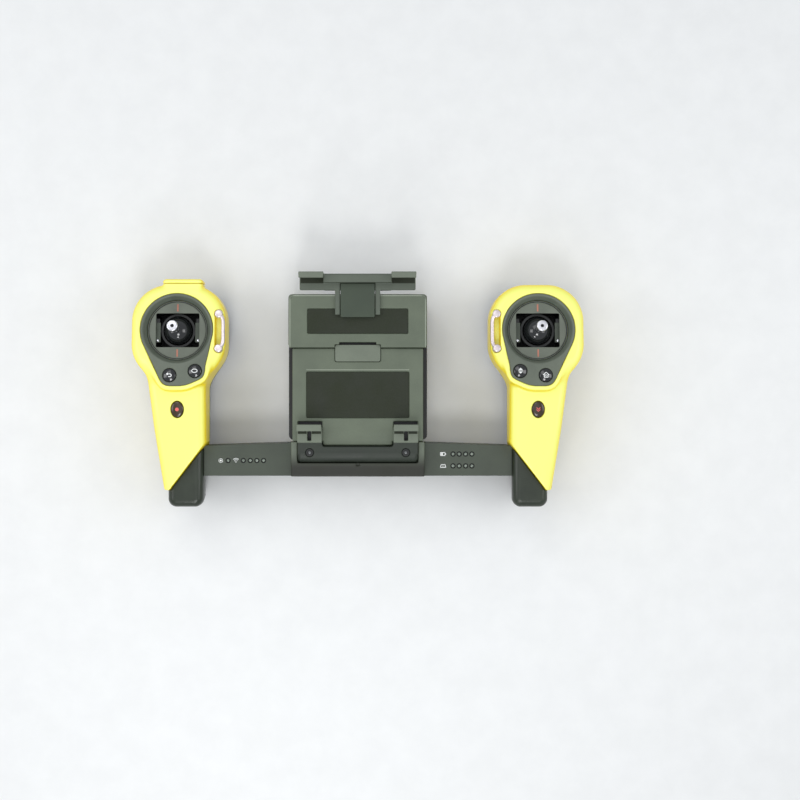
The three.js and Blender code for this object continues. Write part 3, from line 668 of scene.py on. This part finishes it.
def plate_field(x, y, z):
    """The face plate: a lobed plate, a ring below it and a hollow funnel down to the gimbal's disc."""
    radius = np.hypot(x, y)
    plate = round_max(polygon(x, y, FACE_OUTLINE), np.abs(z + 1.25) - 1.25, 0.5)
    lower = np.maximum(radius - RING_RADIUS + 0.2, np.abs(z + 4.2) - 1.8)
    inwards = np.clip((FUNNEL_RADIUS - radius) / (FUNNEL_RADIUS - RING_BORE), 0, 1)
    slope = (0.1 - FUNNEL_DROP * inwards ** FUNNEL_CURVE - z) * 0.6
    body = carve(np.minimum(plate, lower), np.minimum(slope, radius - RING_BORE), 0.5)
    for bx, by in BUTTONS.values():
        body = carve(body, circle(x, y, bx, by, BUTTON_RADIUS + BUTTON_GAP), 0.35)
    return body


def disc_field(x, y, z):
    """The disc inside the groove, with the window for the ball."""
    middle = DISC_TOP - DISC_THICKNESS / 2
    level = np.abs(z - middle) - DISC_THICKNESS / 2
    disc = round_max(np.hypot(x, y) - (DISC_RADIUS - 1.1), level, 0.25)
    return carve(disc, rectangle(x, y, -WINDOW_X, WINDOW_X, -WINDOW_Y, WINDOW_Y, 1.2), 0.35)


def make_grips(paint):
    base = net(base_field, (-39.5, -147.5, -1), (41, 39, 55), CASING_STEP)
    plate = net(plate_field, (-31, -48, -7), (31, 31, 1), FINE_STEP)
    disc = net(disc_field, (-25, -25, -8.5), (25, 25, -4.5), FINE_STEP)
    for side in ("left", "right"):
        place, mirror = grip_place(side), side == "right"
        shell = net(shell_field(side == "left"), (-39.5, -134, 20), (41, 39, 70), CASING_STEP)
        piece = make_piece(f"{side}_grip_shell_look", [(shell, paint["yellow"])], place, mirror)
        thin_out(settle(piece, "base", "shell_yellow", f"{side}_grip_shell"), 0.5)
        piece = make_piece(f"{side}_grip_base_look", [(base, paint["casing"])], place, mirror)
        thin_out(settle(piece, "base", "dark_casing", f"{side}_grip_base"), 0.25)
        make_face(side, plate, disc, paint)
        make_stick(side, paint)
        make_strap_loop(side, paint)
        make_buttons(side, paint)
    shape = net(flap_field, (-13.5, 37, 42), (22, 43, 61), FINE_STEP)
    piece = make_piece("port_flap_look", [(shape, paint["yellow"])], grip_place("left"))
    thin_out(settle(piece, "flap", "shell_yellow", "port_flap"), 0.5)


def make_face(side, plate, disc, paint):
    place, mirror = face_place(side), side == "right"
    piece = make_piece(f"{side}_face_plate_look", [(plate, paint["face"])], place, mirror)
    thin_out(settle(piece, "base", "face_plastic", f"{side}_face_plate"), 0.4)
    rim = ring(outline_box(DISC_RADIUS - 0.5, DISC_RADIUS, -7.3, DISC_TOP))
    groove = ring(outline_box(DISC_RADIUS - 1.5, DISC_RADIUS - 0.2, -7.5, -6.6))
    marks = [moved(plaque(outline_box(-0.6, 0.6, y0, y0 + 6.0), 0.1), z=DISC_TOP) for y0 in (15.6, -21.9)]
    parts = [(disc, paint["disc"]), (rim, paint["disc"]), (groove, paint["black"])]
    parts += [(mark, paint["orange"]) for mark in marks]
    piece = make_piece(f"{side}_gimbal_disc_look", parts, place, mirror, sharp=40)
    settle(piece, "base", "face_plastic", f"{side}_gimbal_disc")
    refined(f"{side}_gimbal_frame", paint["black"], 0.3, "dark_casing")
    refined(f"{side}_gimbal_yoke", paint["black"], 0.35, "dark_casing")
    post = turned([(0, 0), (0.9, 0), (0.9, 0.5), (0.6, 0.7), (0, 0.7)], 20)
    parts = [(moved(plaque(outline_box(*span, -9.6, 6.5), 0.05), z=CHEEK_Z), paint["bridge"])
             for span in ((14.3, 18.9), (-18.9, -14.3))]
    parts += [(moved(post, x, -8.2, CHEEK_Z), paint["metal"]) for x in (-16.6, 16.6)]
    settle(make_piece(f"{side}_gimbal_cheeks", parts, place, mirror, 40), "base", "dark_casing")


def make_stick(side, paint):
    place, mirror = face_place(side), side == "right"
    stem_top = TIP_FOOT - 0.3 - PIVOT_Z
    stem = [(2.7, BALL_RADIUS + 0.3), (2.4, BALL_RADIUS + 1.0), (2.4, stem_top), (0, stem_top)]
    ball = moved(turned([(0, -BALL_RADIUS)] + arc(0, 0, BALL_RADIUS, -84, 75, 40) + stem), z=PIVOT_Z)
    seam = [(BALL_RADIUS + 0.02, -0.2), (BALL_RADIUS + 0.06, 0), (BALL_RADIUS + 0.02, 0.2)]
    parts = [(ball, paint["gloss"]), (moved(ring(seam), z=PIVOT_Z), paint["black"])]
    piece = make_piece(f"{side}_stick_look", parts, place, mirror, 50)
    settle(piece, f"{side}_stick", "button_gloss", f"{side}_stick")
    profile = [(0, TIP_FOOT), (3.0, TIP_FOOT), (3.4, TIP_FOOT + 0.2), (3.6, TIP_FOOT + 4), (3.7, 13.2)]
    profile += [(4.2, 13.9), (TIP_RADIUS, 14.6), (TIP_RADIUS, 18.3)] + arc(3.5, 18.6, 0.9, 0, 90, 5)
    profile += [(1.5, TIP_TOP), (HOLE_RADIUS, 19.3), (HOLE_RADIUS, HOLE_FLOOR), (0, HOLE_FLOOR)]
    # Painted shade: a black disc on the floor of the tip's hole.
    hole_shade = moved(turned([(0, 0), (HOLE_RADIUS, 0), (HOLE_RADIUS, 0.1), (0, 0.1)], 24), z=HOLE_FLOOR)
    parts = [(turned(profile), paint["metal"]), (hole_shade, paint["black"])]
    piece = make_piece(f"{side}_stick_tip_look", parts, place, mirror, 40)
    settle(piece, f"{side}_stick", "polished_metal", f"{side}_stick_tip")


def make_strap_loop(side, paint):
    corners = [(LOOP_END_X, LOOP_TOP_Y), (LOOP_BAR_X, 8.8), (LOOP_BAR_X + 0.4, -0.7),
               (LOOP_BAR_X, -11.4), (LOOP_END_X, LOOP_BOTTOM_Y)]
    bar = swept(smooth_path([(x, y, LOOP_Z) for x, y in corners], 8), LOOP_WIRE)
    button = arc(2.1, -0.8, 1.2, 0, 80, 6) + [(0, 0.4)]
    boss = turned([(0, -3.8), (LOOP_BOSS, -3.8), (LOOP_BOSS, -1.0)] + button, 40)
    parts = [(bar, paint["loop"])]
    parts += [(moved(boss, LOOP_END_X, y), paint["loop"]) for y in (LOOP_TOP_Y, LOOP_BOTTOM_Y)]
    piece = make_piece(f"{side}_strap_loop_look", parts, face_place(side), side == "right", 50)
    settle(piece, "base", "polished_metal", f"{side}_strap_loop")


def dome(x, y):
    """Height of a round button's top."""
    return 1.75 - 1.5 * (x * x + y * y) / BUTTON_RADIUS ** 2


def small_quads(quad, count=4):
    """One four-sided or three-sided outline as a grid of small ones, so that it can follow a dome."""
    if len(quad) == 3:
        quad = [*quad, ((quad[0][0] + quad[2][0]) / 2, (quad[0][1] + quad[2][1]) / 2)]
    a, b, c, d = np.array(quad)
    steps = np.linspace(0, 1, count + 1)
    grid = [[(1 - v) * ((1 - u) * a + u * b) + v * ((1 - u) * d + u * c) for u in steps] for v in steps]
    return [[tuple(p) for p in (grid[j][i], grid[j][i + 1], grid[j + 1][i + 1], grid[j + 1][i])]
            for j in range(count) for i in range(count)]


def icon_parts(quads, paint, flip=False):
    """White print on a round button; mirrored again so that it reads the right way round."""
    parts = []
    for quad in quads:
        quad = [(-x, y) for x, y in quad][::-1] if flip else quad
        parts += [(plaque(small, 0.1, dome), paint["white"]) for small in small_quads(quad)]
    return parts


def arrow_icon():
    tail = [(-0.4, -1.4), (1.2, -1.4), (1.9, -0.8), (1.9, 0.2), (1.2, 0.8), (-0.9, 0.8)]
    return stroke(tail, 0.6) + [[(-0.8, 2.0), (-2.4, 0.8), (-0.8, -0.4)]]


def ring_icon():
    return stroke([(2.2 * math.cos(a), 1.4 * math.sin(a)) for a in np.linspace(0, 2 * math.pi, 20)], 0.6)


def height_icon():
    return [[(-1.9, 0.55), (1.9, 0.55), (0, 2.5)], [(-1.9, 0.1), (-1.9, -0.3), (1.9, -0.3), (1.9, 0.1)],
            [(-1.7, -0.75), (0, -2.3), (1.7, -0.75)]]


def house_icon():
    roof = [(-2.3, 0.2), (0, 2.2), (2.3, 0.2), (1.5, 0.2), (1.5, -1.9), (-1.5, -1.9), (-1.5, 0.2)]
    return stroke(roof, 0.55, closed=True) + stroke(arc(0, -0.4, 0.7, 0, 360, 11), 0.35)


def make_buttons(side, paint):
    place, mirror = face_place(side), side == "right"
    stem = [(0, -6.4), (2.5, -6.4), (2.5, -2)]
    skirt = [(BUTTON_RADIUS - 0.2, -2), (BUTTON_RADIUS, -1.8), (BUTTON_RADIUS, -0.1)]
    cap = turned(stem + skirt + [(r, dome(r, 0)) for r in np.linspace(BUTTON_RADIUS - 0.25, 0, 12)])
    icons = {("left", "outer"): arrow_icon, ("left", "inner"): ring_icon,
             ("right", "outer"): house_icon, ("right", "inner"): height_icon}
    for which, (x, y) in BUTTONS.items():
        parts = [(cap, paint["gloss"])] + icon_parts(icons[side, which](), paint, flip=mirror)
        parts = [(moved(shape, x, y), material) for shape, material in parts]
        piece = make_piece(f"{side}_button_{which}_look", parts, place, mirror, 50)
        settle(piece, f"{side}_button_{which}", "button_gloss", f"{side}_button_{which}")
    make_oval_button(side, paint)


def oval_top(x, y):
    """Height of the oval button's top."""
    return 0.75 - 0.01 * (x * x + y * y)


def make_oval_button(side, paint):
    """The button on the handle, with a dot on the left hand's and two chevrons on the right hand's."""
    slope = Matrix.Translation((0, HANDLE_TOP_Y, HANDLE_TOP_Z)) @ Matrix.Rotation(SLOPE, 4, "X")
    place, mirror = grip_place(side) @ slope, side == "right"
    points, faces = turned([(0, -6), (0.5, -6), (0.5, -3), (0.96, -3), (1, -2.8), (1, -0.1), (0.95, 0.25),
                            (0.8, 0.55), (0.5, 0.72), (0, 0.78)])
    parts = [((points * (OVAL_RX, OVAL_RY, 1), faces), paint["brown"])]
    if side == "left":
        marks = [arc(0, 0, 1.5, 0, 360, 20)[:-1]]
    else:
        chevrons = ([(-1.5, y + 1.4), (0, y), (1.5, y + 1.4)] for y in (0.1, -1.5))
        marks = [quad for chevron in chevrons for quad in stroke(chevron, 0.6)]
    parts += [(plaque(mark, 0.06, oval_top), paint["red"]) for mark in marks]
    parts = [(moved(shape, 0, OVAL_Y - HANDLE_TOP_Y), material) for shape, material in parts]
    piece = make_piece(f"{side}_oval_button_look", parts, place, mirror, 60)
    settle(piece, f"{side}_oval_button", "button_gloss", f"{side}_oval_button")


# ---- bridge
def dot_icon(x, y):
    return stroke(arc(x, y, 1.6, 0, 360, 15), 0.5) + [arc(x, y, 0.8, 0, 360, 8)[:-1]]


def wave_icon(x, y):
    quads = [outline_box(x - 0.35, x + 0.35, y - 1.7, y - 1.0)]
    for radius in (1.3, 2.3, 3.3):
        band = [(x + radius * math.sin(a), y - 1.6 + radius * math.cos(a)) for a in np.linspace(-0.7, 0.7, 7)]
        quads += stroke(band, 0.5)
    return quads


def cell_icon(x, y):
    quads = stroke(outline_box(x - 2.2, x + 1.6, y - 1.3, y + 1.3), 0.5, closed=True)
    return quads + [outline_box(x + 1.7, x + 2.4, y - 0.6, y + 0.6),
                    outline_box(x - 1.6, x - 0.2, y - 0.8, y + 0.8)]


def pad_icon(x, y):
    outline = [(x - 2.3, y - 1.2), (x + 2.3, y - 1.2), (x + 1.6, y + 1.2), (x - 1.6, y + 1.2)]
    return stroke(outline, 0.5, closed=True) + [outline_box(x - 0.9, x - 0.4, y - 0.3, y + 0.3),
                                                outline_box(x + 0.4, x + 0.9, y - 0.3, y + 0.3)]


def make_lights(side, spots, icons, paint):
    collar = ring([(LENS_RADIUS, 42.0), (LED_RADIUS, 42.0), (LED_RADIUS, ARM_TOP - 0.3),
                   (LED_RADIUS - 0.15, ARM_TOP - 0.1), (1.25, ARM_TOP - 0.1),
                   (LENS_RADIUS, ARM_TOP - 0.25)], 32)
    lens = turned([(0, 41.5), (LENS_RADIUS, 41.5), (LENS_RADIUS, ARM_TOP - 0.35), (0.8, ARM_TOP - 0.15),
                   (0.4, ARM_TOP - 0.06), (0, ARM_TOP - 0.04)], 24)
    parts = []
    for x, y in spots:
        parts += [(moved(collar, x, y), paint["black"]), (moved(lens, x, y), paint["light"])]
    piece = make_piece(f"{side}_led_pipes_look", parts, sharp=40)
    settle(piece, "base", "light_pipe", f"{side}_led_pipes")
    prints = [(moved(plaque(quad, 0.05), z=ARM_TOP - 0.001), paint["white"]) for quad in icons]
    settle(make_piece(f"{side}_arm_print", prints, sharp=40), "base", "bridge_plastic")


def make_bridge(paint):
    for side in ("left", "right"):
        refined(f"{side}_arm_cover", paint["bridge"], 1.2, "bridge_plastic", 3, flat=True)
    shape = net(block_field, (-56, -69.5, 23), (56, -38.5, 57), 0.6)
    make_plate("centre_block", shape, paint["block"], "base", "bridge_plastic")
    refined("bridge_lower_cover", paint["casing"], 1.6, "dark_casing", 3)
    refined("power_button", paint["gloss"], 0.5, "button_gloss", 3)
    refined("hinge_pin", paint["screw"], 0.3, "polished_metal")
    refined("status_board", paint["board"], 0.2, "circuit_board")
    make_lights("left", LEFT_LEDS, dot_icon(-114.2, -55.7) + wave_icon(-101.6, -55.6), paint)
    make_lights("right", RIGHT_LEDS, cell_icon(70.9, -50.3) + pad_icon(70.9, -60.2), paint)


# ---- radio housing
def make_radio(paint):
    for node in ("radio_housing_bottom", "radio_housing_top", "battery_pack"):
        refined(node, paint["housing"], 1.2, "dark_casing", 3)
    for node in ("main_board", "antenna_board", "left_button_board", "right_button_board",
                 "left_handle_board", "right_handle_board"):
        refined(node, paint["board"], 0.2, "circuit_board")
    refined("heat_sink", paint["alloy"], 0.2, "heat_sink_aluminium")
    refined("battery_contact_block", paint["gloss"], 0.4, "button_gloss")
    refined("usb_socket", paint["metal"], 0.3, "polished_metal")


# ---- tablet holder
def bracket_field(x, y, z):
    side = np.abs(x)
    barrel = round_max(np.hypot(y - HINGE_Y, z - HINGE_Z) - BARREL, side - BRACKET_X, 3.0)
    bed = HINGE_Z + BARREL
    plan = rectangle(x, y, -BRACKET_X, BRACKET_X, HINGE_Y, BRACKET_Y1, 1.0)
    slab = round_max(plan, np.abs(z - bed + 1.75) - 1.75, 1.2)
    ear = rectangle(side, y, NOTCH_X, BRACKET_X, -40.2, BRACKET_Y1, 0.8)
    ears = round_max(ear, np.abs(z - 59.2) - 2.8, 0.5)
    wall = rectangle(side, y, NOTCH_X, BRACKET_X, -30.5, BRACKET_Y1, 0.5)
    wall = round_max(wall, np.abs(z - 63.2) - 6.8, 0.5)
    hook = rectangle(side, y, NOTCH_X, BRACKET_X, -30.5, -25.2, 0.7)
    hook = round_max(hook, np.abs(z - 69.2) - 1.25, 0.7)
    body = round_min(barrel, slab, 0.6)
    body = round_min(body, ears, 0.8)
    body = round_min(round_min(body, wall, 0.8), hook, 0.5)
    notch = np.maximum(rectangle(x, y, -NOTCH_X, NOTCH_X, NOTCH_Y, 20, 2.0), 55.9 - z)
    body = carve(body, notch, 0.7)
    slot = np.maximum(rectangle(side, y, 38.0, 41.3, -38.6, -31.0, 0.6), 57.0 - z)
    well = np.maximum(np.hypot(side - SCREW_X, y - SCREW_Y) - 3.5, 57.9 - z)
    return carve(body, np.minimum(slot, well), 0.4)


def slab_field(x, y, z, x0, x1, y0, y1, z0, z1, corner=0.6, edge=0.5):
    """A plate with round corners and round edges."""
    level = np.abs(z - (z0 + z1) / 2) - (z1 - z0) / 2
    return round_max(rectangle(x, y, x0, x1, y0, y1, corner), level, edge)


def lower_plate_field(x, y, z):
    side = np.abs(x)
    body = slab_field(x, y, z, -LOWER_X, LOWER_X, -39, 37.3, 49, LOWER_TOP, 1.0, 0.6)
    body = np.minimum(body, slab_field(x, y, z, -51.5, 51.5, 30, 77, 49, 52.6))
    body = round_min(body, slab_field(x, y, z, -28.9, 28.9, -42.9, -30, 50, LOWER_TOP, 1.6, 1.6), 0.3)
    pad_seat = np.maximum(rectangle(x, y, -42.5, 42.5, -20.3, LOWER_PAD_TOP_Y, 1.2), 54.8 - z)
    latch_seat = np.maximum(rectangle(x, y, -18.9, 18.9, 26.1, 60, 1.6), 53 - z)
    jaw_slot = np.maximum(rectangle(side, y, NOTCH_X, BRACKET_X, -30, -22.8, 0.6), 53 - z)
    return carve(body, np.minimum(np.minimum(pad_seat, latch_seat), jaw_slot), 0.35)


def upper_plate_field(x, y, z):
    side = np.abs(x)
    plan = rectangle(x, y, -UPPER_X, UPPER_X, UPPER_Y0, UPPER_Y1, 3.0)
    body = round_max(plan, np.abs(z - 56.25) - 3.25, 0.7)
    body = np.minimum(body, slab_field(side, y, z, 52, UPPER_X, UPPER_Y0, 78.6, 48.5, 55))
    pad_seat = np.maximum(rectangle(x, y, -41.5, 41.5, 49.1, 69.8, 1.2), 58.3 - z)
    latch_seat = rectangle(x, y, -18.9, 18.9, 20, 40.3, 0.4)
    slot = rectangle(x, y, -15.2, 15.2, 20, 42.2, 0.5)
    blade = np.maximum(rectangle(x, y, -14.4, 14.4, 56, 90), np.abs(z - 55.8) - 1.2)
    return carve(body, np.minimum(np.minimum(pad_seat, latch_seat), np.minimum(slot, blade)), 0.35)


def clamp_field(x, y, z):
    side = np.abs(x)
    core = slab_field(x, y, z, -27.8, 27.8, 84.8, 96.9, 54.8, 69, 0.8, 0.6)
    core = carve(core, np.maximum(rectangle(x, y, -40, 40, 70, 90.4), 62 - z), 0.5)
    bar = slab_field(x, y, z, -47.5, 47.5, 84.8, 98.2, 58, 62, 1.0, 0.6)
    body = round_min(core, bar, 0.4)
    body = round_min(body, slab_field(side, y, z, 27.5, 47.5, 96.2, 98.2, 60, 76.5, 0.4, 0.4), 0.6)
    body = round_min(body, slab_field(side, y, z, 27.5, 47.5, 93.3, 98.2, 74, 76.5, 0.6, 0.6), 0.4)
    stem = slab_field(side, y, z, 14.3, 18.5, 64.5, 87, 59.8, 62, 0.6, 0.5)
    blade = slab_field(x, y, z, -14, 14, 57, 87, 54.9, 56.7, 0.6, 0.3)
    body = np.minimum(body, np.minimum(stem, blade))
    seat = np.maximum(rectangle(x, y, -14.25, 14.25, 60, 90.4), np.abs(z - 61.9) - 2.2)
    return carve(body, seat, 0.3)


def block_field(x, y, z):
    """The centre block with its round-ended trough for the holder's barrel."""
    side = np.abs(x)
    body = slab_field(x, y, z, -55, 55, -68.4, -39.7, 24, 56, 0.8, 0.8)
    cheek, room = BRACKET_X + 0.3, BARREL + 0.5
    trough = round_max(np.hypot(y - HINGE_Y, z - HINGE_Z) - room, side - cheek, 3.2)
    mouth = np.maximum(rectangle(x, y, -cheek, cheek, HINGE_Y - room, 0, 1.4), HINGE_Z - 0.5 - z)
    tail = np.maximum(rectangle(x, y, -cheek, cheek, HINGE_Y, 0), 47.5 - z)
    body = carve(body, np.minimum(np.minimum(trough, mouth), tail), 0.5)
    nick = np.maximum(rectangle(x, y, -1.5, 1.5, -59.5, -50, 0.8), 54.5 - z)
    switch = np.maximum(np.hypot(x, z - 33) - 4.4, y + 64.4)
    return carve(body, np.minimum(nick, switch), 0.3)


def make_plate(name, shape, paint, body, slot):
    """A plate in one material, or in two: the first for the faces that a test picks."""
    parts = split_part(shape, *paint) if isinstance(paint, tuple) else [(shape, paint)]
    thin_out(settle(make_piece(name + "_look", parts), body, slot, name), 0.3)


def make_screws(paint):
    shank, seat = 1.4, 58.8
    head = turned([(0, 56.2), (shank, 56.2), (shank, 58.3), (3.2, 58.3), (3.2, 59.2), (3.0, 59.5), (1.5, 59.7),
                   (shank, seat), (0, seat)], 32)
    core = turned([(0, seat), (1.25, seat), (1.25, 59.3), (0.9, 59.45), (0, 59.45)], 20)
    for side, x in (("left", -SCREW_X), ("right", SCREW_X)):
        parts = [(moved(head, x, SCREW_Y), paint["black"]), (moved(core, x, SCREW_Y), paint["screw"])]
        piece = make_piece(f"{side}_bracket_screw_look", parts, sharp=40)
        settle(piece, "holder", "screw_steel", f"{side}_bracket_screw")


def patches(name, boxes, z, thickness, material, body):
    """Thin flat pieces at one height, the same on both sides of X = 0."""
    parts = []
    for x0, x1, y0, y1 in boxes:
        for a, b in ((x0, x1), (-x1, -x0)):
            parts.append((moved(plaque(outline_box(a, b, y0, y1), thickness), z=z), material))
    settle(make_piece(name, parts, sharp=40), body, "rubber_pad")


def line_on(name, path, width, z, height, material, body):
    """A raised line along a path on one of the holder's plates."""
    parts = [(moved(plaque(quad, height), z=z), material) for quad in stroke(path, width)]
    settle(make_piece(name, parts, sharp=40), body, "holder_plastic")


def make_holder(paint):
    shape = net(bracket_field, (-50.5, -57.5, 45.5), (50.5, -24.5, 71.5), FINE_STEP)
    # Painted highlight: the bracket's jaws, towards +Y, are painted in the lighter latch colour; the part near
    # the hinge keeps the dark bracket colour.
    hook_highlights = (lambda x, y, z: y > -40.4, paint["latch"], paint["bracket"])
    make_plate("holder_bracket", shape, hook_highlights, "holder", "bridge_plastic")
    make_screws(paint)
    shape = net(lower_plate_field, (-55, -44, 48), (55, 78, 57.5), PLATE_STEP)
    make_plate("holder_lower_plate", shape, paint["plate"], "holder", "holder_plastic")
    shape = net(upper_plate_field, (-58, 37, 47.5), (58, 83, 60.5), PLATE_STEP)
    make_plate("holder_upper_plate", shape, paint["plate"], "holder_extension", "holder_plastic")
    refined("extension_latch", paint["latch"], 0.5, "holder_plastic", 3)
    shape = net(clamp_field, (-48.5, 56, 54), (48.5, 99, 77.5), FINE_STEP)
    # Painted highlight: the top jaws' lips are painted in the lighter latch colour.
    hook_highlights = (lambda x, y, z: (z > 73.8) & (y > 93), paint["latch"], paint["clamp"])
    make_plate("top_clamp", shape, hook_highlights, "clamp", "holder_plastic")
    refined("clamp_cover", paint["cover"], 0.8, "holder_plastic", 3)
    for node in ("lower_pad", "upper_pad", "left_bottom_jaw_pad", "right_bottom_jaw_pad",
                 "left_top_jaw_pad", "right_top_jaw_pad"):
        refined(node, paint["pad"], 0.25, "rubber_pad")
    # The upper plate's raised trim lip, painted in the lighter rim colour as an edge highlight.
    inset, corner = 1.3, 2.6
    x, y = UPPER_X - inset, UPPER_Y1 - inset
    rim = [(x, UPPER_Y0 + 0.4)] + arc(x - corner, y - corner, corner, 0, 90, 8)
    rim += [(-px, py) for px, py in rim[::-1]]
    line_on("upper_plate_rim_highlight", rim, 0.65, UPPER_TOP - 0.05, 0.12, paint["rim"], "holder_extension")
    # Painted highlight: a thin raised line just past the lower pad's edge, in the lighter rim colour.
    pad_line = [(-42.3, LOWER_PAD_TOP_Y + 1.5), (42.3, LOWER_PAD_TOP_Y + 1.5)]
    line_on("lower_plate_highlight_line", pad_line, 0.5, LOWER_TOP - 0.05, 0.1, paint["rim"], "holder")
    # Painted shade: dark rubber strips on the jaw floors under the top lips darken that recess.
    patches("top_jaw_painted_shade", [(28.2, 46.8, 90.2, 95.9)], 61.9, 0.35, paint["pad"], "clamp")
    # Painted shadow: dark strips just below the bottom jaws' lips.
    under_lip_shadows = [(x0, x1, -33.0, -30.6) for x0, x1 in ((29.9, 37.6), (41.7, 48.9))]
    patches("bottom_jaw_painted_shadow", under_lip_shadows, 61.9, 0.25, paint["pad"], "holder")
    # Painted shade: black floors in the bracket's slots.
    patches("keyhole_painted_shade", [(38.1, 41.2, -38.5, -30.9)], 57.0, 0.1, paint["black"], "holder")
    # Painted shade: black floors in the lower plate's jaw slots under the bottom lips.
    patches("jaw_slot_painted_shade", [(29.6, 49.2, -27.4, -23.1)], 53.0, 0.15, paint["black"], "holder")
    # Painted shade: a black floor in the upper plate's slot above the latch.
    floor = moved(plaque(outline_box(-15.1, 15.1, 40.4, 42.1), 0.1), z=53.1)
    piece = make_piece("latch_slot_painted_shade", [(floor, paint["black"])], sharp=40)
    settle(piece, "holder_extension", "holder_plastic")


# ---- stage
def make_floor():
    size, z = 3.0, -0.0002
    mesh = bpy.data.meshes.new("floor")
    corners = [(x, y, z) for x, y in outline_box(-size, size, -size, size)]
    mesh.from_pydata(corners, [], [(0, 1, 2, 3)])
    floor = bpy.data.objects.new("floor", mesh)
    bpy.context.scene.collection.objects.link(floor)
    floor.data.materials.append(plastic("floor_paper", (230, 231, 230), (226, 227, 226), 0.9, 2.0, 0.05))


def make_light(name, place, aim, size, power):
    """A square area light, in metres and watts."""
    data = bpy.data.lights.new(name, "AREA")
    data.size = size
    data.energy = power
    lamp = bpy.data.objects.new(name, data)
    lamp.location = place
    lamp.rotation_euler = (Vector(aim) - Vector(place)).to_track_quat("-Z", "Y").to_euler()
    bpy.context.scene.collection.objects.link(lamp)


def make_stage():
    """A pale floor, soft lights around the part and an even sky."""
    make_floor()
    make_light("key", (0.0, -0.62, 1.15), (0, 0, 0), 0.32, 3.2)
    make_light("far", (-0.35, 0.75, 1.1), (0, 0, 0), 0.7, 2.6)
    make_light("top", (0.0, 0.1, 1.6), (0, 0, 0), 0.9, 1.3)
    for side in (-1, 1):
        make_light("side", (side * 0.8, 0.05, 0.75), (0, 0, 0.03), 0.45, 1.9)
    make_light("window", (-0.13, -0.52, 0.46), (-0.1, 0, 0.03), 0.1, 0.45)
    world = bpy.data.worlds.new("studio")
    world.use_nodes = True
    sky = world.node_tree.nodes["Background"]
    sky.inputs["Color"].default_value = (0.92, 0.95, 1.0, 1)
    sky.inputs["Strength"].default_value = 0.64
    bpy.context.scene.world = world
    bpy.context.scene.view_settings.view_transform = "Standard"


def make_camera():
    """Straight above the part; the picture's middle lies right of the camera, by the lens shift.

    The picture is `width` metres wide at the height of the grips' tops.
    """
    distance, width, level, sensor = 0.9, 0.656, 0.060, 36
    camera_x, picture_x = 0.0147, 0.0347
    data = bpy.data.cameras.new("camera")
    data.sensor_width = sensor
    data.lens = sensor * distance / width
    data.shift_x = (picture_x - camera_x) / width
    camera = bpy.data.objects.new("camera", data)
    camera.location = (camera_x, (SHIFT_Y + PICTURE_Y) * MM, level + distance)
    bpy.context.scene.collection.objects.link(camera)
    bpy.context.scene.camera = camera


# ---- everything
make_camera()
PAINT = make_materials()
make_grips(PAINT)
make_bridge(PAINT)
make_radio(PAINT)
make_holder(PAINT)
make_stage()
